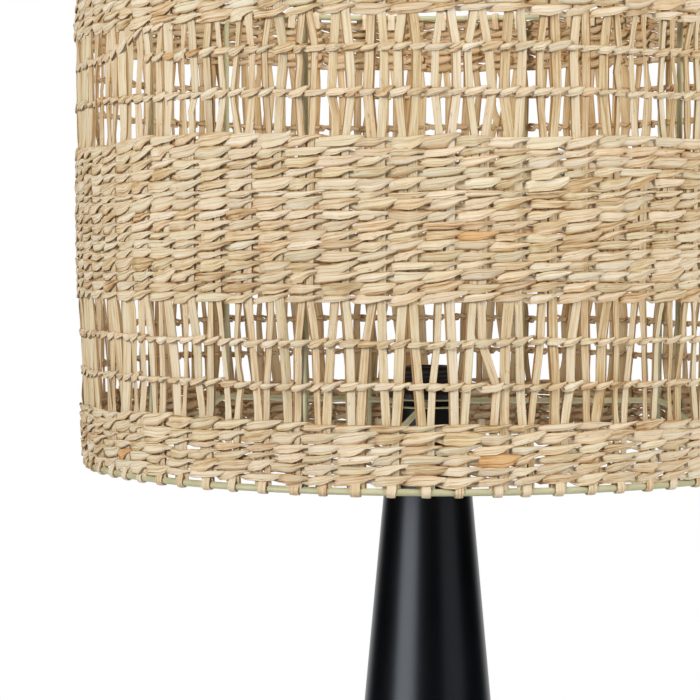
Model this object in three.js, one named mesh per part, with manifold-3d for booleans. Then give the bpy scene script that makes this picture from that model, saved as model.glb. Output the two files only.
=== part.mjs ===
// Floor lamp: a tapered steel stand with a weighted foot, a screw-cap lampholder and a drum
// shade of twined rattan over a welded wire frame.
// Millimetres, +Z up, origin on the floor under the lamp's axis. The viewer stands at -Y.
import * as THREE from "three";
import { mergeVertices } from "three/addons/utils/BufferGeometryUtils.js";
import Module from "manifold-3d";

const wasm = await Module();
wasm.setup();

// Clearances
const SEAT_GAP = 0.3; // between two faces that rest on each other
const WELD_GAP = 0.15; // between a wire and the washers that clamp it
const THREAD_CLEARANCE = 0.3; // on the radius of a hole over a thread
const CUT_OVERRUN = 3; // how far a cutting tool runs past the face it opens

// Stand
const STAND_HEIGHT = 1200; // floor to the face that carries the shade
const CONE_FOOT_RADIUS = 135;
const CONE_LAND = 6; // from the holder's thread to the rim of the cone's top face
const CONE_WALL = 1.2;
const CONE_HEM_WIDTH = 6; // in-turned edge that stands on the weight
const CONE_SHOULDER = 1; // chamfer round the top face
const CONE_SIDES = 40;

// Foot
const FELT_THICKNESS = 3;
const FELT_EDGE_INSET = 8; // from the weight's edge to the felt's
const WEIGHT_EDGE_INSET = 1; // from the cone's edge to the weight's
const WEIGHT_FLANGE = 4;
const WEIGHT_SPIGOT = 14;
const WEIGHT_SPIGOT_CHAMFER = 2;
const WEIGHT_SPIGOT_CLEARANCE = 0.6;
const NUT_POCKET_RADIUS = 17;
const NUT_POCKET_DEPTH = 10;
const FOOT_SIDES = 28;

// Tie tube and its fasteners
const TIE_RADIUS = 5;
const TIE_BORE_RADIUS = 3.5;
const TIE_END_INSET = 2; // the tube's foot stops this far inside the nut pocket
const TIE_ENTRY = 9; // how far the tube stands into the holder's cap
const NUT_ACROSS_FLATS = 14;
const NUT_THICKNESS = 4;
const WASHER_RADIUS = 14;
const WASHER_THICKNESS = 1.5;
const SEAT_DISC_THICKNESS = 2;
const FASTENER_SIDES = 12;

// Cord outlet in the back of the cone
const OUTLET_HEIGHT = 48; // floor to the outlet's centre
const OUTLET_BORE_RADIUS = 4;
const OUTLET_BARREL_RADIUS = 6;
const OUTLET_FLANGE_RADIUS = 9.5;
const OUTLET_FLANGE_THICKNESS = 2.5;
const OUTLET_FLANGE_ROUND = 1;
const OUTLET_LIP_RADIUS = 7.2;
const OUTLET_LIP_LENGTH = 3;
const OUTLET_LIP_GAP = 0.6; // clears the curve of the wall inside
const OUTLET_SIDES = 14;

// Lampholder for a 27 mm screw cap; heights count from the cone's top face
const HOLDER_THREAD_RADIUS = 20;
const HOLDER_TOP = 29.2;
const HOLDER_RIM = 2.3;
const HOLDER_RIM_BEVEL = 1.8;
const HOLDER_WALL = 2.8;
const HOLDER_SHOULDER = 3.5; // from the thread out to the skirt
const HOLDER_MOUTH_CLEARANCE = 0.7; // round the sleeve's bulb end
const HOLDER_LIP_CLEARANCE = 0.8; // of the thread in the cone's top hole
const HOLDER_SHOULDER_DROP = 0.4; // of the skirt under the cone's lip
const HOLDER_SKIRT_HEIGHT = 4.4;
const CAP_HEIGHT = 24.7;
const CAP_WALL = 2.2;
const CAP_FLOOR = 2.5;
const CAP_LEDGE = 2.8; // width of the ledge that carries the contact block
const CAP_LEDGE_HEIGHT = 13.7; // from the cap's foot
const CAP_BOSS_RADIUS = 9;
const CAP_BOSS_HEIGHT = 10;
const BLOCK_FLANGE_THICKNESS = 4;
const BLOCK_CLEARANCE = 0.4;
const BLOCK_HEIGHT = 15;
const BLOCK_WELL_RADIUS = 10;
const BLOCK_WELL_DEPTH = 4;
const SLEEVE_RADIUS = 13.9; // brass screw sleeve, outside
const SLEEVE_WALL = 0.7;
const CONTACT_END_CLEARANCE = 0.8;
const CONTACT_WIDTH = 6;
const CONTACT_THICKNESS = 0.5;
const CONTACT_CROWN_LENGTH = 7;
const CONTACT_CROWN_RISE = 1.4;
const CONTACT_HEIGHT_IN_WELL = 3; // leaf over the well's floor
const TERMINAL_OFFSET = 13;
const TERMINAL_SHANK_RADIUS = 1.6;
const TERMINAL_SHANK_LENGTH = 7;
const TERMINAL_HEAD_RADIUS = 3;
const TERMINAL_HEAD_THICKNESS = 2.4;
const TERMINAL_SLOT_WIDTH = 0.8;
const TERMINAL_SLOT_DEPTH = 1;
const TERMINAL_SIDES = 8;
const HOLDER_SIDES = 24;
const INNER_HOLDER_SIDES = 20; // pieces out of sight

// Clamp ring that screws down on the shade's washers
const CLAMP_RUNNING_CLEARANCE = 0.5;
const CLAMP_FLANGE_WIDTH = 8.5; // beyond the thread
const CLAMP_FLANGE_THICKNESS = 4;
const CLAMP_HUB_WALL = 3.5; // beyond the thread
const CLAMP_HUB_HEIGHT = 4.1;
const CLAMP_NOTCHES = 12;
const CLAMP_NOTCH_DEPTH = 0.9;

// Shade frame: two hoops, upright wires and three cranked arms to a pair of washers
const SHADE_DROP = 36; // lower hoop's centre under the cone's top face
const FRAME_HEIGHT = 334; // hoop centre to hoop centre
const HOOP_RADIUS = 242;
const HOOP_WIRE_RADIUS = 2.25;
const HOOP_SIDES = 30;
const WIRE_RADIUS = 2;
const WIRE_SIDES = 6;
const UPRIGHTS = 12;
const UPRIGHT_INSET = 2; // from the hoops' line in to the uprights'
const UPRIGHT_START_DEG = -78.5; // first upright, from +X towards +Y
const ARMS = 3;
const ARM_START_DEG = -95; // first arm, from +X towards +Y
const ARM_END_INSET = 1.4; // from the washers' hole to the arm's inner end
const ARM_LEVEL_LENGTH = 5.5; // the arm leaves the washers level
const ARM_CRANK_INSET = 49; // from the hoop's line in to the crank
const ARM_CRANK_DROP = 3.9; // between the washers and the crank
const ARM_BEND_LENGTH = 9; // each way from the crank
const ARM_STEPS = 10;
const FITTER_WASHER_WIDTH = 7.7;
const FITTER_WASHER_CLEARANCE = 0.8; // round the holder's thread
const FITTER_WASHER_THICKNESS = 1;

// Woven cover. A band's proud size is how far its rows stand out beyond the hoops' line.
const STAKE_PAIRS = 72;
const PAIR_START_DEG = 2.2; // first pair of the middle band, from +X towards +Y
const EDGE_BAND_GAP = 3.2; // between a hoop's centre and the band beside it
const EDGE_BAND_HEIGHT = 38.6;
const EDGE_BAND_ROWS = 6;
const LOWER_BAND_PROUD = 5.5;
const UPPER_BAND_PROUD = 7.5;
const MIDDLE_BAND_HEIGHT = 102.2;
const MIDDLE_BAND_ROWS = 16;
const MIDDLE_BAND_PROUD = 8;
// Where the single rows lie between the two bands beside them, from the lower one up
const TWINED_ROW_SHARES = { lower_twined_row_1: 0.669, lower_twined_row_2: 0.308,
  upper_twined_row_1: 0.372, upper_twined_row_2: 0.734 };
const BAND_ROW_DEPTH = 1; // how far the groove between two rows goes in
const BAND_FRAME_CLEARANCE = 0.4; // between the cover and the upright wires
const BAND_SIDES = 30;
const STAKE_FRAME_CLEARANCE = 3; // between the strips and the upright wires
const STAKE_THICKNESS = 1;
const STAKE_WIDTH = 5.2;
const STAKE_JOIN_HEIGHT = 5; // where two strips of a pair lie together
const STAKE_SPREAD = 5.4; // half the distance between a pair's strips where they part
const ROW_HALF_HEIGHT = 3.6;
const ROW_THICKNESS = 2.4;

// Finishes
const finish = (color, roughness, metalness) =>
  new THREE.MeshStandardMaterial({ color, roughness, metalness });
const MATTE_BLACK = finish(0x16171a, 0.42, 0.2);
const BLACK_PLASTIC = finish(0x0d0d0e, 0.35, 0);
const SAGE_ENAMEL = finish(0xa59f7c, 0.5, 0.2);
const RATTAN = finish(0xd2bb94, 0.75, 0);
const CAST_IRON = finish(0x3a3b3d, 0.7, 0.6);
const ZINC_STEEL = finish(0x9a9da1, 0.4, 0.9);
const BRASS = finish(0xb3914b, 0.35, 1);
const STONEWARE = finish(0xd8d4c8, 0.6, 0);
const FELT = finish(0x1c1c1d, 0.95, 0);

// Derived places
const FULL_TURN = Math.PI * 2;
const coneTopRadius = HOLDER_THREAD_RADIUS + CONE_LAND;
const weightFloor = FELT_THICKNESS + SEAT_GAP;
const coneFoot = weightFloor + WEIGHT_FLANGE + SEAT_GAP;
const hoopPlane = STAND_HEIGHT - SHADE_DROP;
const coneSlope = (CONE_FOOT_RADIUS - coneTopRadius) / (STAND_HEIGHT - coneFoot);
const coneRadius = (z) => coneTopRadius + (STAND_HEIGHT - z) * coneSlope;
const lipRadius = HOLDER_THREAD_RADIUS + HOLDER_LIP_CLEARANCE;
const holderInnerRadius = HOLDER_THREAD_RADIUS - HOLDER_WALL;
const capRadius = HOLDER_THREAD_RADIUS + HOLDER_SHOULDER;
const capTop = STAND_HEIGHT - CONE_WALL - HOLDER_SHOULDER_DROP - HOLDER_SKIRT_HEIGHT - SEAT_GAP;
const capFoot = capTop - CAP_HEIGHT;
const blockFoot = capFoot + CAP_LEDGE_HEIGHT + SEAT_GAP;
const blockTop = blockFoot + BLOCK_HEIGHT;
const wellFloor = blockTop - BLOCK_WELL_DEPTH;
const seatDiscTop = capFoot - SEAT_GAP;
const seatDiscFoot = seatDiscTop - SEAT_DISC_THICKNESS;
const tieHole = TIE_RADIUS + THREAD_CLEARANCE;
const pocketRoof = weightFloor + NUT_POCKET_DEPTH;
const lowerWasherFoot = STAND_HEIGHT + SEAT_GAP;
const armHeight = lowerWasherFoot + FITTER_WASHER_THICKNESS + WELD_GAP + WIRE_RADIUS;
const upperWasherFoot = armHeight + WIRE_RADIUS + WELD_GAP;
const clampFoot = upperWasherFoot + FITTER_WASHER_THICKNESS + SEAT_GAP;
const washerBore = HOLDER_THREAD_RADIUS + FITTER_WASHER_CLEARANCE;
const washerRadius = washerBore + FITTER_WASHER_WIDTH;
const uprightRadius = HOOP_RADIUS - UPRIGHT_INSET;
const bandInnerRadius =
  (uprightRadius + WIRE_RADIUS + BAND_FRAME_CLEARANCE) / Math.cos(Math.PI / BAND_SIDES);
const stakeInnerRadius = uprightRadius + WIRE_RADIUS + STAKE_FRAME_CLEARANCE;
const stakeOuterRadius = stakeInnerRadius + STAKE_THICKNESS;
const upperHoopPlane = hoopPlane + FRAME_HEIGHT;
const frameMiddle = (hoopPlane + upperHoopPlane) / 2;
const lowerBand = { foot: hoopPlane + EDGE_BAND_GAP,
  top: hoopPlane + EDGE_BAND_GAP + EDGE_BAND_HEIGHT, rows: EDGE_BAND_ROWS, proud: LOWER_BAND_PROUD };
const middleBand = { foot: frameMiddle - MIDDLE_BAND_HEIGHT / 2,
  top: frameMiddle + MIDDLE_BAND_HEIGHT / 2, rows: MIDDLE_BAND_ROWS, proud: MIDDLE_BAND_PROUD };
const upperBand = { foot: upperHoopPlane - EDGE_BAND_GAP - EDGE_BAND_HEIGHT,
  top: upperHoopPlane - EDGE_BAND_GAP, rows: EDGE_BAND_ROWS, proud: UPPER_BAND_PROUD };

const lamp = new THREE.Group();
lamp.name = "floor_lamp";

function place(name, geometry, material) {
  const mesh = new THREE.Mesh(geometry, material);
  mesh.name = name;
  lamp.add(mesh);
  return mesh;
}

// A solid of revolution about Z from [radius, height] pairs. A profile that leaves the axis
// closes on itself.
function revolve(profile, sides) {
  const twiceArea = profile.reduce((sum, [r, z], i) => {
    const [nextR, nextZ] = profile[(i + 1) % profile.length];
    return sum + r * nextZ - nextR * z;
  }, 0);
  const ordered = twiceArea > 0 ? [...profile] : [...profile].reverse();
  const leavesAxis = ordered.findIndex(([r], i) => r === 0 && ordered.at(i - 1)[0] === 0);
  const points = leavesAxis < 0 ? [...ordered, ordered[0]]
    : [...ordered.slice(leavesAxis), ...ordered.slice(0, leavesAxis)];
  return new THREE.LatheGeometry(points.map(([r, z]) => new THREE.Vector2(r, z)), sides)
    .rotateX(Math.PI / 2);
}

// A flat ring or tube about Z.
const ring = (inner, outer, foot, top, sides) =>
  revolve([[inner, foot], [outer, foot], [outer, top], [inner, top]], sides);

// A closed geometry as a manifold-3d solid, and back.
function solid(geometry) {
  const bare = geometry.clone();
  for (const name of ["normal", "uv"]) bare.deleteAttribute(name);
  const merged = mergeVertices(bare);
  return new wasm.Manifold(new wasm.Mesh({ numProp: 3,
    vertProperties: merged.attributes.position.array,
    triVerts: new Uint32Array(merged.index.array) }));
}

function geometryOf(made) {
  const mesh = made.getMesh();
  return new THREE.BufferGeometry()
    .setAttribute("position", new THREE.BufferAttribute(new Float32Array(mesh.vertProperties), 3))
    .setIndex(new THREE.BufferAttribute(new Uint32Array(mesh.triVerts), 1));
}

// A plate bent round Z: points are [angle, height], faces are anticlockwise from outside.
function bentPlate(points, faces, innerRadius, outerRadius) {
  const at = (radius) => points.flatMap(([angle, z]) =>
    [radius * Math.cos(angle), radius * Math.sin(angle), z]);
  const count = points.length;
  const used = new Set(faces.flatMap(([a, b, c]) => [`${a},${b}`, `${b},${c}`, `${c},${a}`]));
  const index = [];
  for (const [a, b, c] of faces) {
    index.push(a, b, c, c + count, b + count, a + count);
    for (const [from, to] of [[a, b], [b, c], [c, a]])
      if (!used.has(`${to},${from}`))
        index.push(from + count, to + count, to, from + count, to, from);
  }
  return new THREE.BufferGeometry()
    .setAttribute("position",
      new THREE.Float32BufferAttribute([...at(outerRadius), ...at(innerRadius)], 3))
    .setIndex(index);
}

// Stand: the spun cone, with the outlet's hole drilled square to its wall
function outletAxis(geometry) {
  return geometry.rotateX(Math.atan(coneSlope))
    .translate(0, coneRadius(OUTLET_HEIGHT), OUTLET_HEIGHT);
}

function coneBody() {
  const innerFoot = coneFoot + CONE_WALL;
  const innerTop = STAND_HEIGHT - CONE_WALL;
  const shell = revolve([
    [CONE_FOOT_RADIUS - CONE_HEM_WIDTH, coneFoot],
    [CONE_FOOT_RADIUS, coneFoot],
    [coneRadius(STAND_HEIGHT - CONE_SHOULDER), STAND_HEIGHT - CONE_SHOULDER],
    [coneTopRadius - CONE_SHOULDER, STAND_HEIGHT],
    [lipRadius, STAND_HEIGHT],
    [lipRadius, innerTop],
    [coneRadius(innerTop) - CONE_WALL, innerTop],
    [coneRadius(innerFoot) - CONE_WALL, innerFoot],
    [CONE_FOOT_RADIUS - CONE_HEM_WIDTH, innerFoot],
  ], CONE_SIDES);
  const drillRadius = OUTLET_BARREL_RADIUS + SEAT_GAP;
  const drill = outletAxis(new THREE.CylinderGeometry(drillRadius, drillRadius,
    (CONE_WALL + CUT_OVERRUN) * 2, OUTLET_SIDES));
  return geometryOf(solid(shell).subtract(solid(drill)));
}

function cordOutlet() {
  const seat = SEAT_GAP;
  const lipStart = -CONE_WALL - OUTLET_LIP_GAP;
  const flangeTop = seat + OUTLET_FLANGE_THICKNESS;
  const profile = [
    [OUTLET_BORE_RADIUS, lipStart - OUTLET_LIP_LENGTH],
    [OUTLET_BARREL_RADIUS, lipStart - OUTLET_LIP_LENGTH],
    [OUTLET_LIP_RADIUS, lipStart],
    [OUTLET_BARREL_RADIUS, lipStart],
    [OUTLET_BARREL_RADIUS, seat],
    [OUTLET_FLANGE_RADIUS, seat],
    [OUTLET_FLANGE_RADIUS, flangeTop - OUTLET_FLANGE_ROUND],
    [OUTLET_FLANGE_RADIUS - OUTLET_FLANGE_ROUND, flangeTop],
    [OUTLET_BORE_RADIUS, flangeTop],
  ];
  return outletAxis(revolve(profile, OUTLET_SIDES).rotateX(-Math.PI / 2));
}

// Foot: cast weight with a spigot inside the cone and a pocket for the tie nut
function castWeight() {
  const edge = CONE_FOOT_RADIUS - WEIGHT_EDGE_INSET;
  const spigot = CONE_FOOT_RADIUS - CONE_HEM_WIDTH - WEIGHT_SPIGOT_CLEARANCE;
  const flangeTop = weightFloor + WEIGHT_FLANGE;
  const top = flangeTop + WEIGHT_SPIGOT;
  return revolve([
    [NUT_POCKET_RADIUS, weightFloor],
    [edge, weightFloor],
    [edge, flangeTop],
    [spigot, flangeTop],
    [spigot, top - WEIGHT_SPIGOT_CHAMFER],
    [spigot - WEIGHT_SPIGOT_CHAMFER, top],
    [tieHole, top],
    [tieHole, pocketRoof],
    [NUT_POCKET_RADIUS, pocketRoof],
  ], FOOT_SIDES);
}

function hexNut(foot) {
  const corner = NUT_ACROSS_FLATS / 2 / Math.cos(Math.PI / 6);
  const outline = new THREE.Shape(Array.from({ length: 6 }, (_, i) =>
    new THREE.Vector2(corner * Math.cos(i * Math.PI / 3), corner * Math.sin(i * Math.PI / 3))));
  outline.holes.push(new THREE.Path().absarc(0, 0, tieHole, 0, FULL_TURN, true));
  return new THREE.ExtrudeGeometry(outline,
    { depth: NUT_THICKNESS, bevelEnabled: false, curveSegments: FASTENER_SIDES / 2 })
    .translate(0, 0, foot);
}

function buildStand() {
  const weightEdge = CONE_FOOT_RADIUS - WEIGHT_EDGE_INSET;
  place("felt_pad", ring(NUT_POCKET_RADIUS, weightEdge - FELT_EDGE_INSET, 0, FELT_THICKNESS,
    FOOT_SIDES), FELT);
  place("cast_weight", castWeight(), CAST_IRON);
  place("cone_body", coneBody(), MATTE_BLACK);
  place("cord_outlet", cordOutlet(), BLACK_PLASTIC);
  place("seat_disc", ring(tieHole, coneRadius(seatDiscTop) - CONE_WALL - SEAT_GAP, seatDiscFoot,
    seatDiscTop, FOOT_SIDES), ZINC_STEEL);
  place("tie_tube", ring(TIE_BORE_RADIUS, TIE_RADIUS, weightFloor + TIE_END_INSET,
    capFoot + TIE_ENTRY, FASTENER_SIDES), ZINC_STEEL);
  const footWasherTop = pocketRoof - SEAT_GAP;
  const seatWasherTop = seatDiscFoot - SEAT_GAP;
  for (const [name, top] of [["foot", footWasherTop], ["seat", seatWasherTop]]) {
    const washerFoot = top - WASHER_THICKNESS;
    place(`${name}_washer`, ring(tieHole, WASHER_RADIUS, washerFoot, top, FASTENER_SIDES),
      ZINC_STEEL);
    place(`${name}_nut`, hexNut(washerFoot - SEAT_GAP - NUT_THICKNESS), ZINC_STEEL);
  }
}

// Lampholder: cap below the cone's lip, threaded shell through it, contacts inside
function holderCap() {
  const ledge = capFoot + CAP_LEDGE_HEIGHT;
  const bore = capRadius - CAP_WALL;
  return revolve([
    [tieHole, capFoot],
    [capRadius, capFoot],
    [capRadius, capTop],
    [bore, capTop],
    [bore, ledge],
    [bore - CAP_LEDGE, ledge],
    [bore - CAP_LEDGE, capFoot + CAP_FLOOR],
    [CAP_BOSS_RADIUS, capFoot + CAP_FLOOR],
    [CAP_BOSS_RADIUS, capFoot + CAP_BOSS_HEIGHT],
    [tieHole, capFoot + CAP_BOSS_HEIGHT],
  ], INNER_HOLDER_SIDES);
}

function holderShell() {
  const top = STAND_HEIGHT + HOLDER_TOP;
  const skirtTop = STAND_HEIGHT - CONE_WALL - HOLDER_SHOULDER_DROP;
  const skirtFoot = skirtTop - HOLDER_SKIRT_HEIGHT;
  const mouth = SLEEVE_RADIUS + HOLDER_MOUTH_CLEARANCE;
  return revolve([
    [holderInnerRadius, skirtFoot],
    [capRadius, skirtFoot],
    [capRadius, skirtTop],
    [HOLDER_THREAD_RADIUS, skirtTop],
    [HOLDER_THREAD_RADIUS, top - HOLDER_RIM_BEVEL],
    [HOLDER_THREAD_RADIUS - HOLDER_RIM_BEVEL, top],
    [mouth, top],
    [mouth, top - HOLDER_RIM],
    [holderInnerRadius, top - HOLDER_RIM],
  ], HOLDER_SIDES);
}

function contactBlock() {
  const flange = capRadius - CAP_WALL - BLOCK_CLEARANCE;
  const body = holderInnerRadius - BLOCK_CLEARANCE;
  const flangeTop = blockFoot + BLOCK_FLANGE_THICKNESS;
  let block = solid(revolve([
    [0, blockFoot],
    [flange, blockFoot],
    [flange, flangeTop],
    [body, flangeTop],
    [body, blockTop],
    [BLOCK_WELL_RADIUS, blockTop],
    [BLOCK_WELL_RADIUS, wellFloor],
    [0, wellFloor],
  ], INNER_HOLDER_SIDES));
  const drillRadius = TERMINAL_SHANK_RADIUS + THREAD_CLEARANCE;
  const depth = TERMINAL_SHANK_LENGTH + THREAD_CLEARANCE;
  for (const side of [-1, 1]) {
    const drill = ring(0, drillRadius, blockFoot - CUT_OVERRUN, blockFoot + depth,
      TERMINAL_SIDES).translate(side * TERMINAL_OFFSET, 0, 0);
    block = block.subtract(solid(drill));
  }
  return geometryOf(block);
}

function terminalScrew(side) {
  const headTop = blockFoot - SEAT_GAP;
  const headFoot = headTop - TERMINAL_HEAD_THICKNESS;
  const screw = solid(revolve([
    [0, headFoot],
    [TERMINAL_HEAD_RADIUS, headFoot],
    [TERMINAL_HEAD_RADIUS, headTop],
    [TERMINAL_SHANK_RADIUS, headTop],
    [TERMINAL_SHANK_RADIUS, blockFoot + TERMINAL_SHANK_LENGTH],
    [0, blockFoot + TERMINAL_SHANK_LENGTH],
  ], TERMINAL_SIDES));
  const slotLength = (TERMINAL_HEAD_RADIUS + CUT_OVERRUN) * 2;
  const slot = new THREE.BoxGeometry(TERMINAL_SLOT_WIDTH, slotLength, TERMINAL_SLOT_DEPTH * 2)
    .translate(0, 0, headFoot);
  return geometryOf(screw.subtract(solid(slot)).translate(side * TERMINAL_OFFSET, 0, 0));
}

// Leaf with a raised crown that the bulb's tip presses down
function centreContact() {
  const half = BLOCK_WELL_RADIUS - CONTACT_END_CLEARANCE;
  const foot = CONTACT_CROWN_LENGTH / 2;
  const crown = foot / 2;
  const upper = [[half, 0], [foot, 0], [crown, CONTACT_CROWN_RISE], [-crown, CONTACT_CROWN_RISE],
    [-foot, 0], [-half, 0]];
  const lower = upper.map(([x, z]) => [x, z - CONTACT_THICKNESS]).reverse();
  const outline = new THREE.Shape([...upper, ...lower].map(([x, z]) => new THREE.Vector2(x, z)));
  return new THREE.ExtrudeGeometry(outline, { depth: CONTACT_WIDTH, bevelEnabled: false })
    .translate(0, 0, -CONTACT_WIDTH / 2)
    .rotateX(Math.PI / 2)
    .translate(0, 0, wellFloor + CONTACT_HEIGHT_IN_WELL);
}

function buildLampholder() {
  place("holder_cap", holderCap(), BLACK_PLASTIC);
  place("holder_shell", holderShell(), BLACK_PLASTIC);
  place("contact_block", contactBlock(), STONEWARE);
  place("screw_sleeve", ring(SLEEVE_RADIUS - SLEEVE_WALL, SLEEVE_RADIUS, blockTop + SEAT_GAP,
    STAND_HEIGHT + HOLDER_TOP - HOLDER_RIM - SEAT_GAP, INNER_HOLDER_SIDES), BRASS);
  place("centre_contact", centreContact(), BRASS);
  place("live_terminal_screw", terminalScrew(-1), BRASS);
  place("neutral_terminal_screw", terminalScrew(1), BRASS);
}

// Clamp ring: a notched flange under a plain hub
function clampRing() {
  const bore = HOLDER_THREAD_RADIUS + CLAMP_RUNNING_CLEARANCE;
  const flangeTop = clampFoot + CLAMP_FLANGE_THICKNESS;
  const outline = new THREE.Shape(Array.from({ length: CLAMP_NOTCHES * 4 }, (_, i) => {
    const radius = HOLDER_THREAD_RADIUS + CLAMP_FLANGE_WIDTH - (i % 4 < 2 ? 0 : CLAMP_NOTCH_DEPTH);
    const angle = i * FULL_TURN / (CLAMP_NOTCHES * 4);
    return new THREE.Vector2(radius * Math.cos(angle), radius * Math.sin(angle));
  }));
  const flange = new THREE.ExtrudeGeometry(outline,
    { depth: CLAMP_FLANGE_THICKNESS, bevelEnabled: false }).translate(0, 0, clampFoot);
  const hub = ring(0, HOLDER_THREAD_RADIUS + CLAMP_HUB_WALL, clampFoot,
    flangeTop + CLAMP_HUB_HEIGHT, HOLDER_SIDES);
  const hole = ring(0, bore, clampFoot - CUT_OVERRUN, flangeTop + CLAMP_HUB_HEIGHT + CUT_OVERRUN,
    HOLDER_SIDES);
  return geometryOf(solid(flange).add(solid(hub)).subtract(solid(hole)));
}

// Frame wires. A hoop has a corner of its outline at each spider arm.
function hoop(z) {
  const section = Array.from({ length: WIRE_SIDES }, (_, i) => {
    const angle = (i + 0.5) * FULL_TURN / WIRE_SIDES;
    return [HOOP_RADIUS + HOOP_WIRE_RADIUS * Math.cos(angle), z + HOOP_WIRE_RADIUS * Math.sin(angle)];
  });
  return revolve(section, HOOP_SIDES).rotateZ(THREE.MathUtils.degToRad(ARM_START_DEG) + Math.PI / 2);
}

function upright() {
  const reach = HOOP_WIRE_RADIUS + SEAT_GAP;
  const length = FRAME_HEIGHT - reach * 2;
  return new THREE.CylinderGeometry(WIRE_RADIUS, WIRE_RADIUS, length, WIRE_SIDES)
    .rotateX(Math.PI / 2)
    .translate(uprightRadius, 0, frameMiddle);
}

// An arm runs level out of the washers, falls a little to its crank, then dives to the hoop.
function spiderArm() {
  const crank = new THREE.Vector3(HOOP_RADIUS - ARM_CRANK_INSET, 0, armHeight - ARM_CRANK_DROP);
  const hoopCentre = new THREE.Vector3(HOOP_RADIUS, 0, hoopPlane);
  const dive = hoopCentre.clone().sub(crank).normalize();
  const inner = new THREE.Vector3(washerBore + ARM_END_INSET, 0, armHeight);
  const level = new THREE.Vector3(washerRadius + ARM_LEVEL_LENGTH, 0, armHeight);
  const fall = crank.clone().sub(level).normalize();
  const end = hoopCentre.clone().addScaledVector(dive, -HOOP_WIRE_RADIUS - SEAT_GAP);
  const path = new THREE.CatmullRomCurve3([
    inner,
    level,
    level.clone().lerp(crank, 0.5),
    crank.clone().addScaledVector(fall, -ARM_BEND_LENGTH),
    crank.clone().addScaledVector(dive, ARM_BEND_LENGTH),
    end,
  ], false, "centripetal");
  const section = new THREE.Shape(Array.from({ length: WIRE_SIDES }, (_, i) => {
    const angle = (i + 0.5) * FULL_TURN / WIRE_SIDES;
    return new THREE.Vector2(WIRE_RADIUS * Math.cos(angle), WIRE_RADIUS * Math.sin(angle));
  }));
  return new THREE.ExtrudeGeometry(section,
    { steps: ARM_STEPS, extrudePath: path, bevelEnabled: false });
}

function buildFrame() {
  place("lower_hoop", hoop(hoopPlane), SAGE_ENAMEL);
  place("upper_hoop", hoop(upperHoopPlane), SAGE_ENAMEL);
  for (let i = 0; i < UPRIGHTS; i++) {
    const number = String(i + 1).padStart(2, "0");
    place(`frame_upright_${number}`, upright(), SAGE_ENAMEL).rotation.z =
      THREE.MathUtils.degToRad(UPRIGHT_START_DEG) + i * FULL_TURN / UPRIGHTS;
  }
  for (let i = 0; i < ARMS; i++)
    place(`spider_arm_${i + 1}`, spiderArm(), SAGE_ENAMEL).rotation.z =
      THREE.MathUtils.degToRad(ARM_START_DEG) + i * FULL_TURN / ARMS;
  for (const [name, foot] of [["lower", lowerWasherFoot], ["upper", upperWasherFoot]])
    place(`fitter_washer_${name}`, ring(washerBore, washerRadius, foot,
      foot + FITTER_WASHER_THICKNESS, HOLDER_SIDES), SAGE_ENAMEL);
}

// A closely twined band: plain inside, one rounded rib for each row outside
function wovenBand({ foot, top, rows, proud }) {
  const pitch = (top - foot) / rows;
  const crest = HOOP_RADIUS + proud;
  const groove = crest - BAND_ROW_DEPTH;
  const ribs = Array.from({ length: rows }, (_, i) =>
    [[groove, foot + i * pitch], [crest, foot + (i + 0.5) * pitch]]).flat();
  return revolve([
    [bandInnerRadius, foot],
    ...ribs,
    [groove, top],
    [bandInnerRadius, top],
  ], BAND_SIDES);
}

const pitchAngle = FULL_TURN / STAKE_PAIRS;
const firstPair = THREE.MathUtils.degToRad(PAIR_START_DEG);
const angleOf = (length) => length / stakeInnerRadius;

// Lower openwork: each strip leaves one pair at the top and joins the next pair below, so the
// strips run round the shade as one zigzag.
function crossedStakes() {
  const top = middleBand.foot - SEAT_GAP;
  const foot = lowerBand.top + SEAT_GAP;
  const half = angleOf(STAKE_WIDTH);
  const points = [];
  const faces = [];
  for (let i = 0; i < STAKE_PAIRS; i++) {
    const upper = firstPair + i * pitchAngle;
    const lower = upper + pitchAngle / 2;
    points.push([upper - half, top], [upper + half, top], [upper, top - STAKE_JOIN_HEIGHT],
      [lower - half, foot], [lower + half, foot], [lower, foot + STAKE_JOIN_HEIGHT]);
    const [topLeft, topRight, peak, footLeft, footRight, notch] = [0, 1, 2, 3, 4, 5]
      .map((n) => i * 6 + n);
    const nextTopLeft = (topLeft + 6) % (STAKE_PAIRS * 6);
    const nextPeak = (peak + 6) % (STAKE_PAIRS * 6);
    faces.push([topLeft, peak, topRight], [peak, footLeft, notch], [peak, notch, topRight],
      [notch, footLeft, footRight], [notch, footRight, nextPeak], [notch, nextPeak, nextTopLeft]);
  }
  return bentPlate(points, faces, stakeInnerRadius, stakeOuterRadius);
}

// Upper openwork: the two strips of a pair part and close again, and grow out of their band.
function partedStakes() {
  const top = upperBand.foot;
  const foot = middleBand.top + SEAT_GAP;
  const middle = (top + foot) / 2;
  const half = angleOf(STAKE_WIDTH);
  const inner = angleOf(STAKE_SPREAD - STAKE_WIDTH / 2);
  const outer = angleOf(STAKE_SPREAD + STAKE_WIDTH / 2);
  const pairs = Array.from({ length: STAKE_PAIRS }, (_, i) => {
    const points = [[-half, top], [half, top], [0, top - STAKE_JOIN_HEIGHT], [-outer, middle],
      [-inner, middle], [inner, middle], [outer, middle], [-half, foot], [half, foot],
      [0, foot + STAKE_JOIN_HEIGHT]].map(([angle, z]) => [firstPair + i * pitchAngle + angle, z]);
    const faces = [[0, 2, 1], [0, 3, 4], [0, 4, 2], [1, 2, 5], [1, 5, 6], [3, 7, 9], [3, 9, 4],
      [5, 9, 8], [5, 8, 6], [7, 8, 9]];
    return solid(bentPlate(points, faces, stakeInnerRadius, stakeOuterRadius));
  });
  return wasm.Manifold.union(pairs);
}

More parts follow.
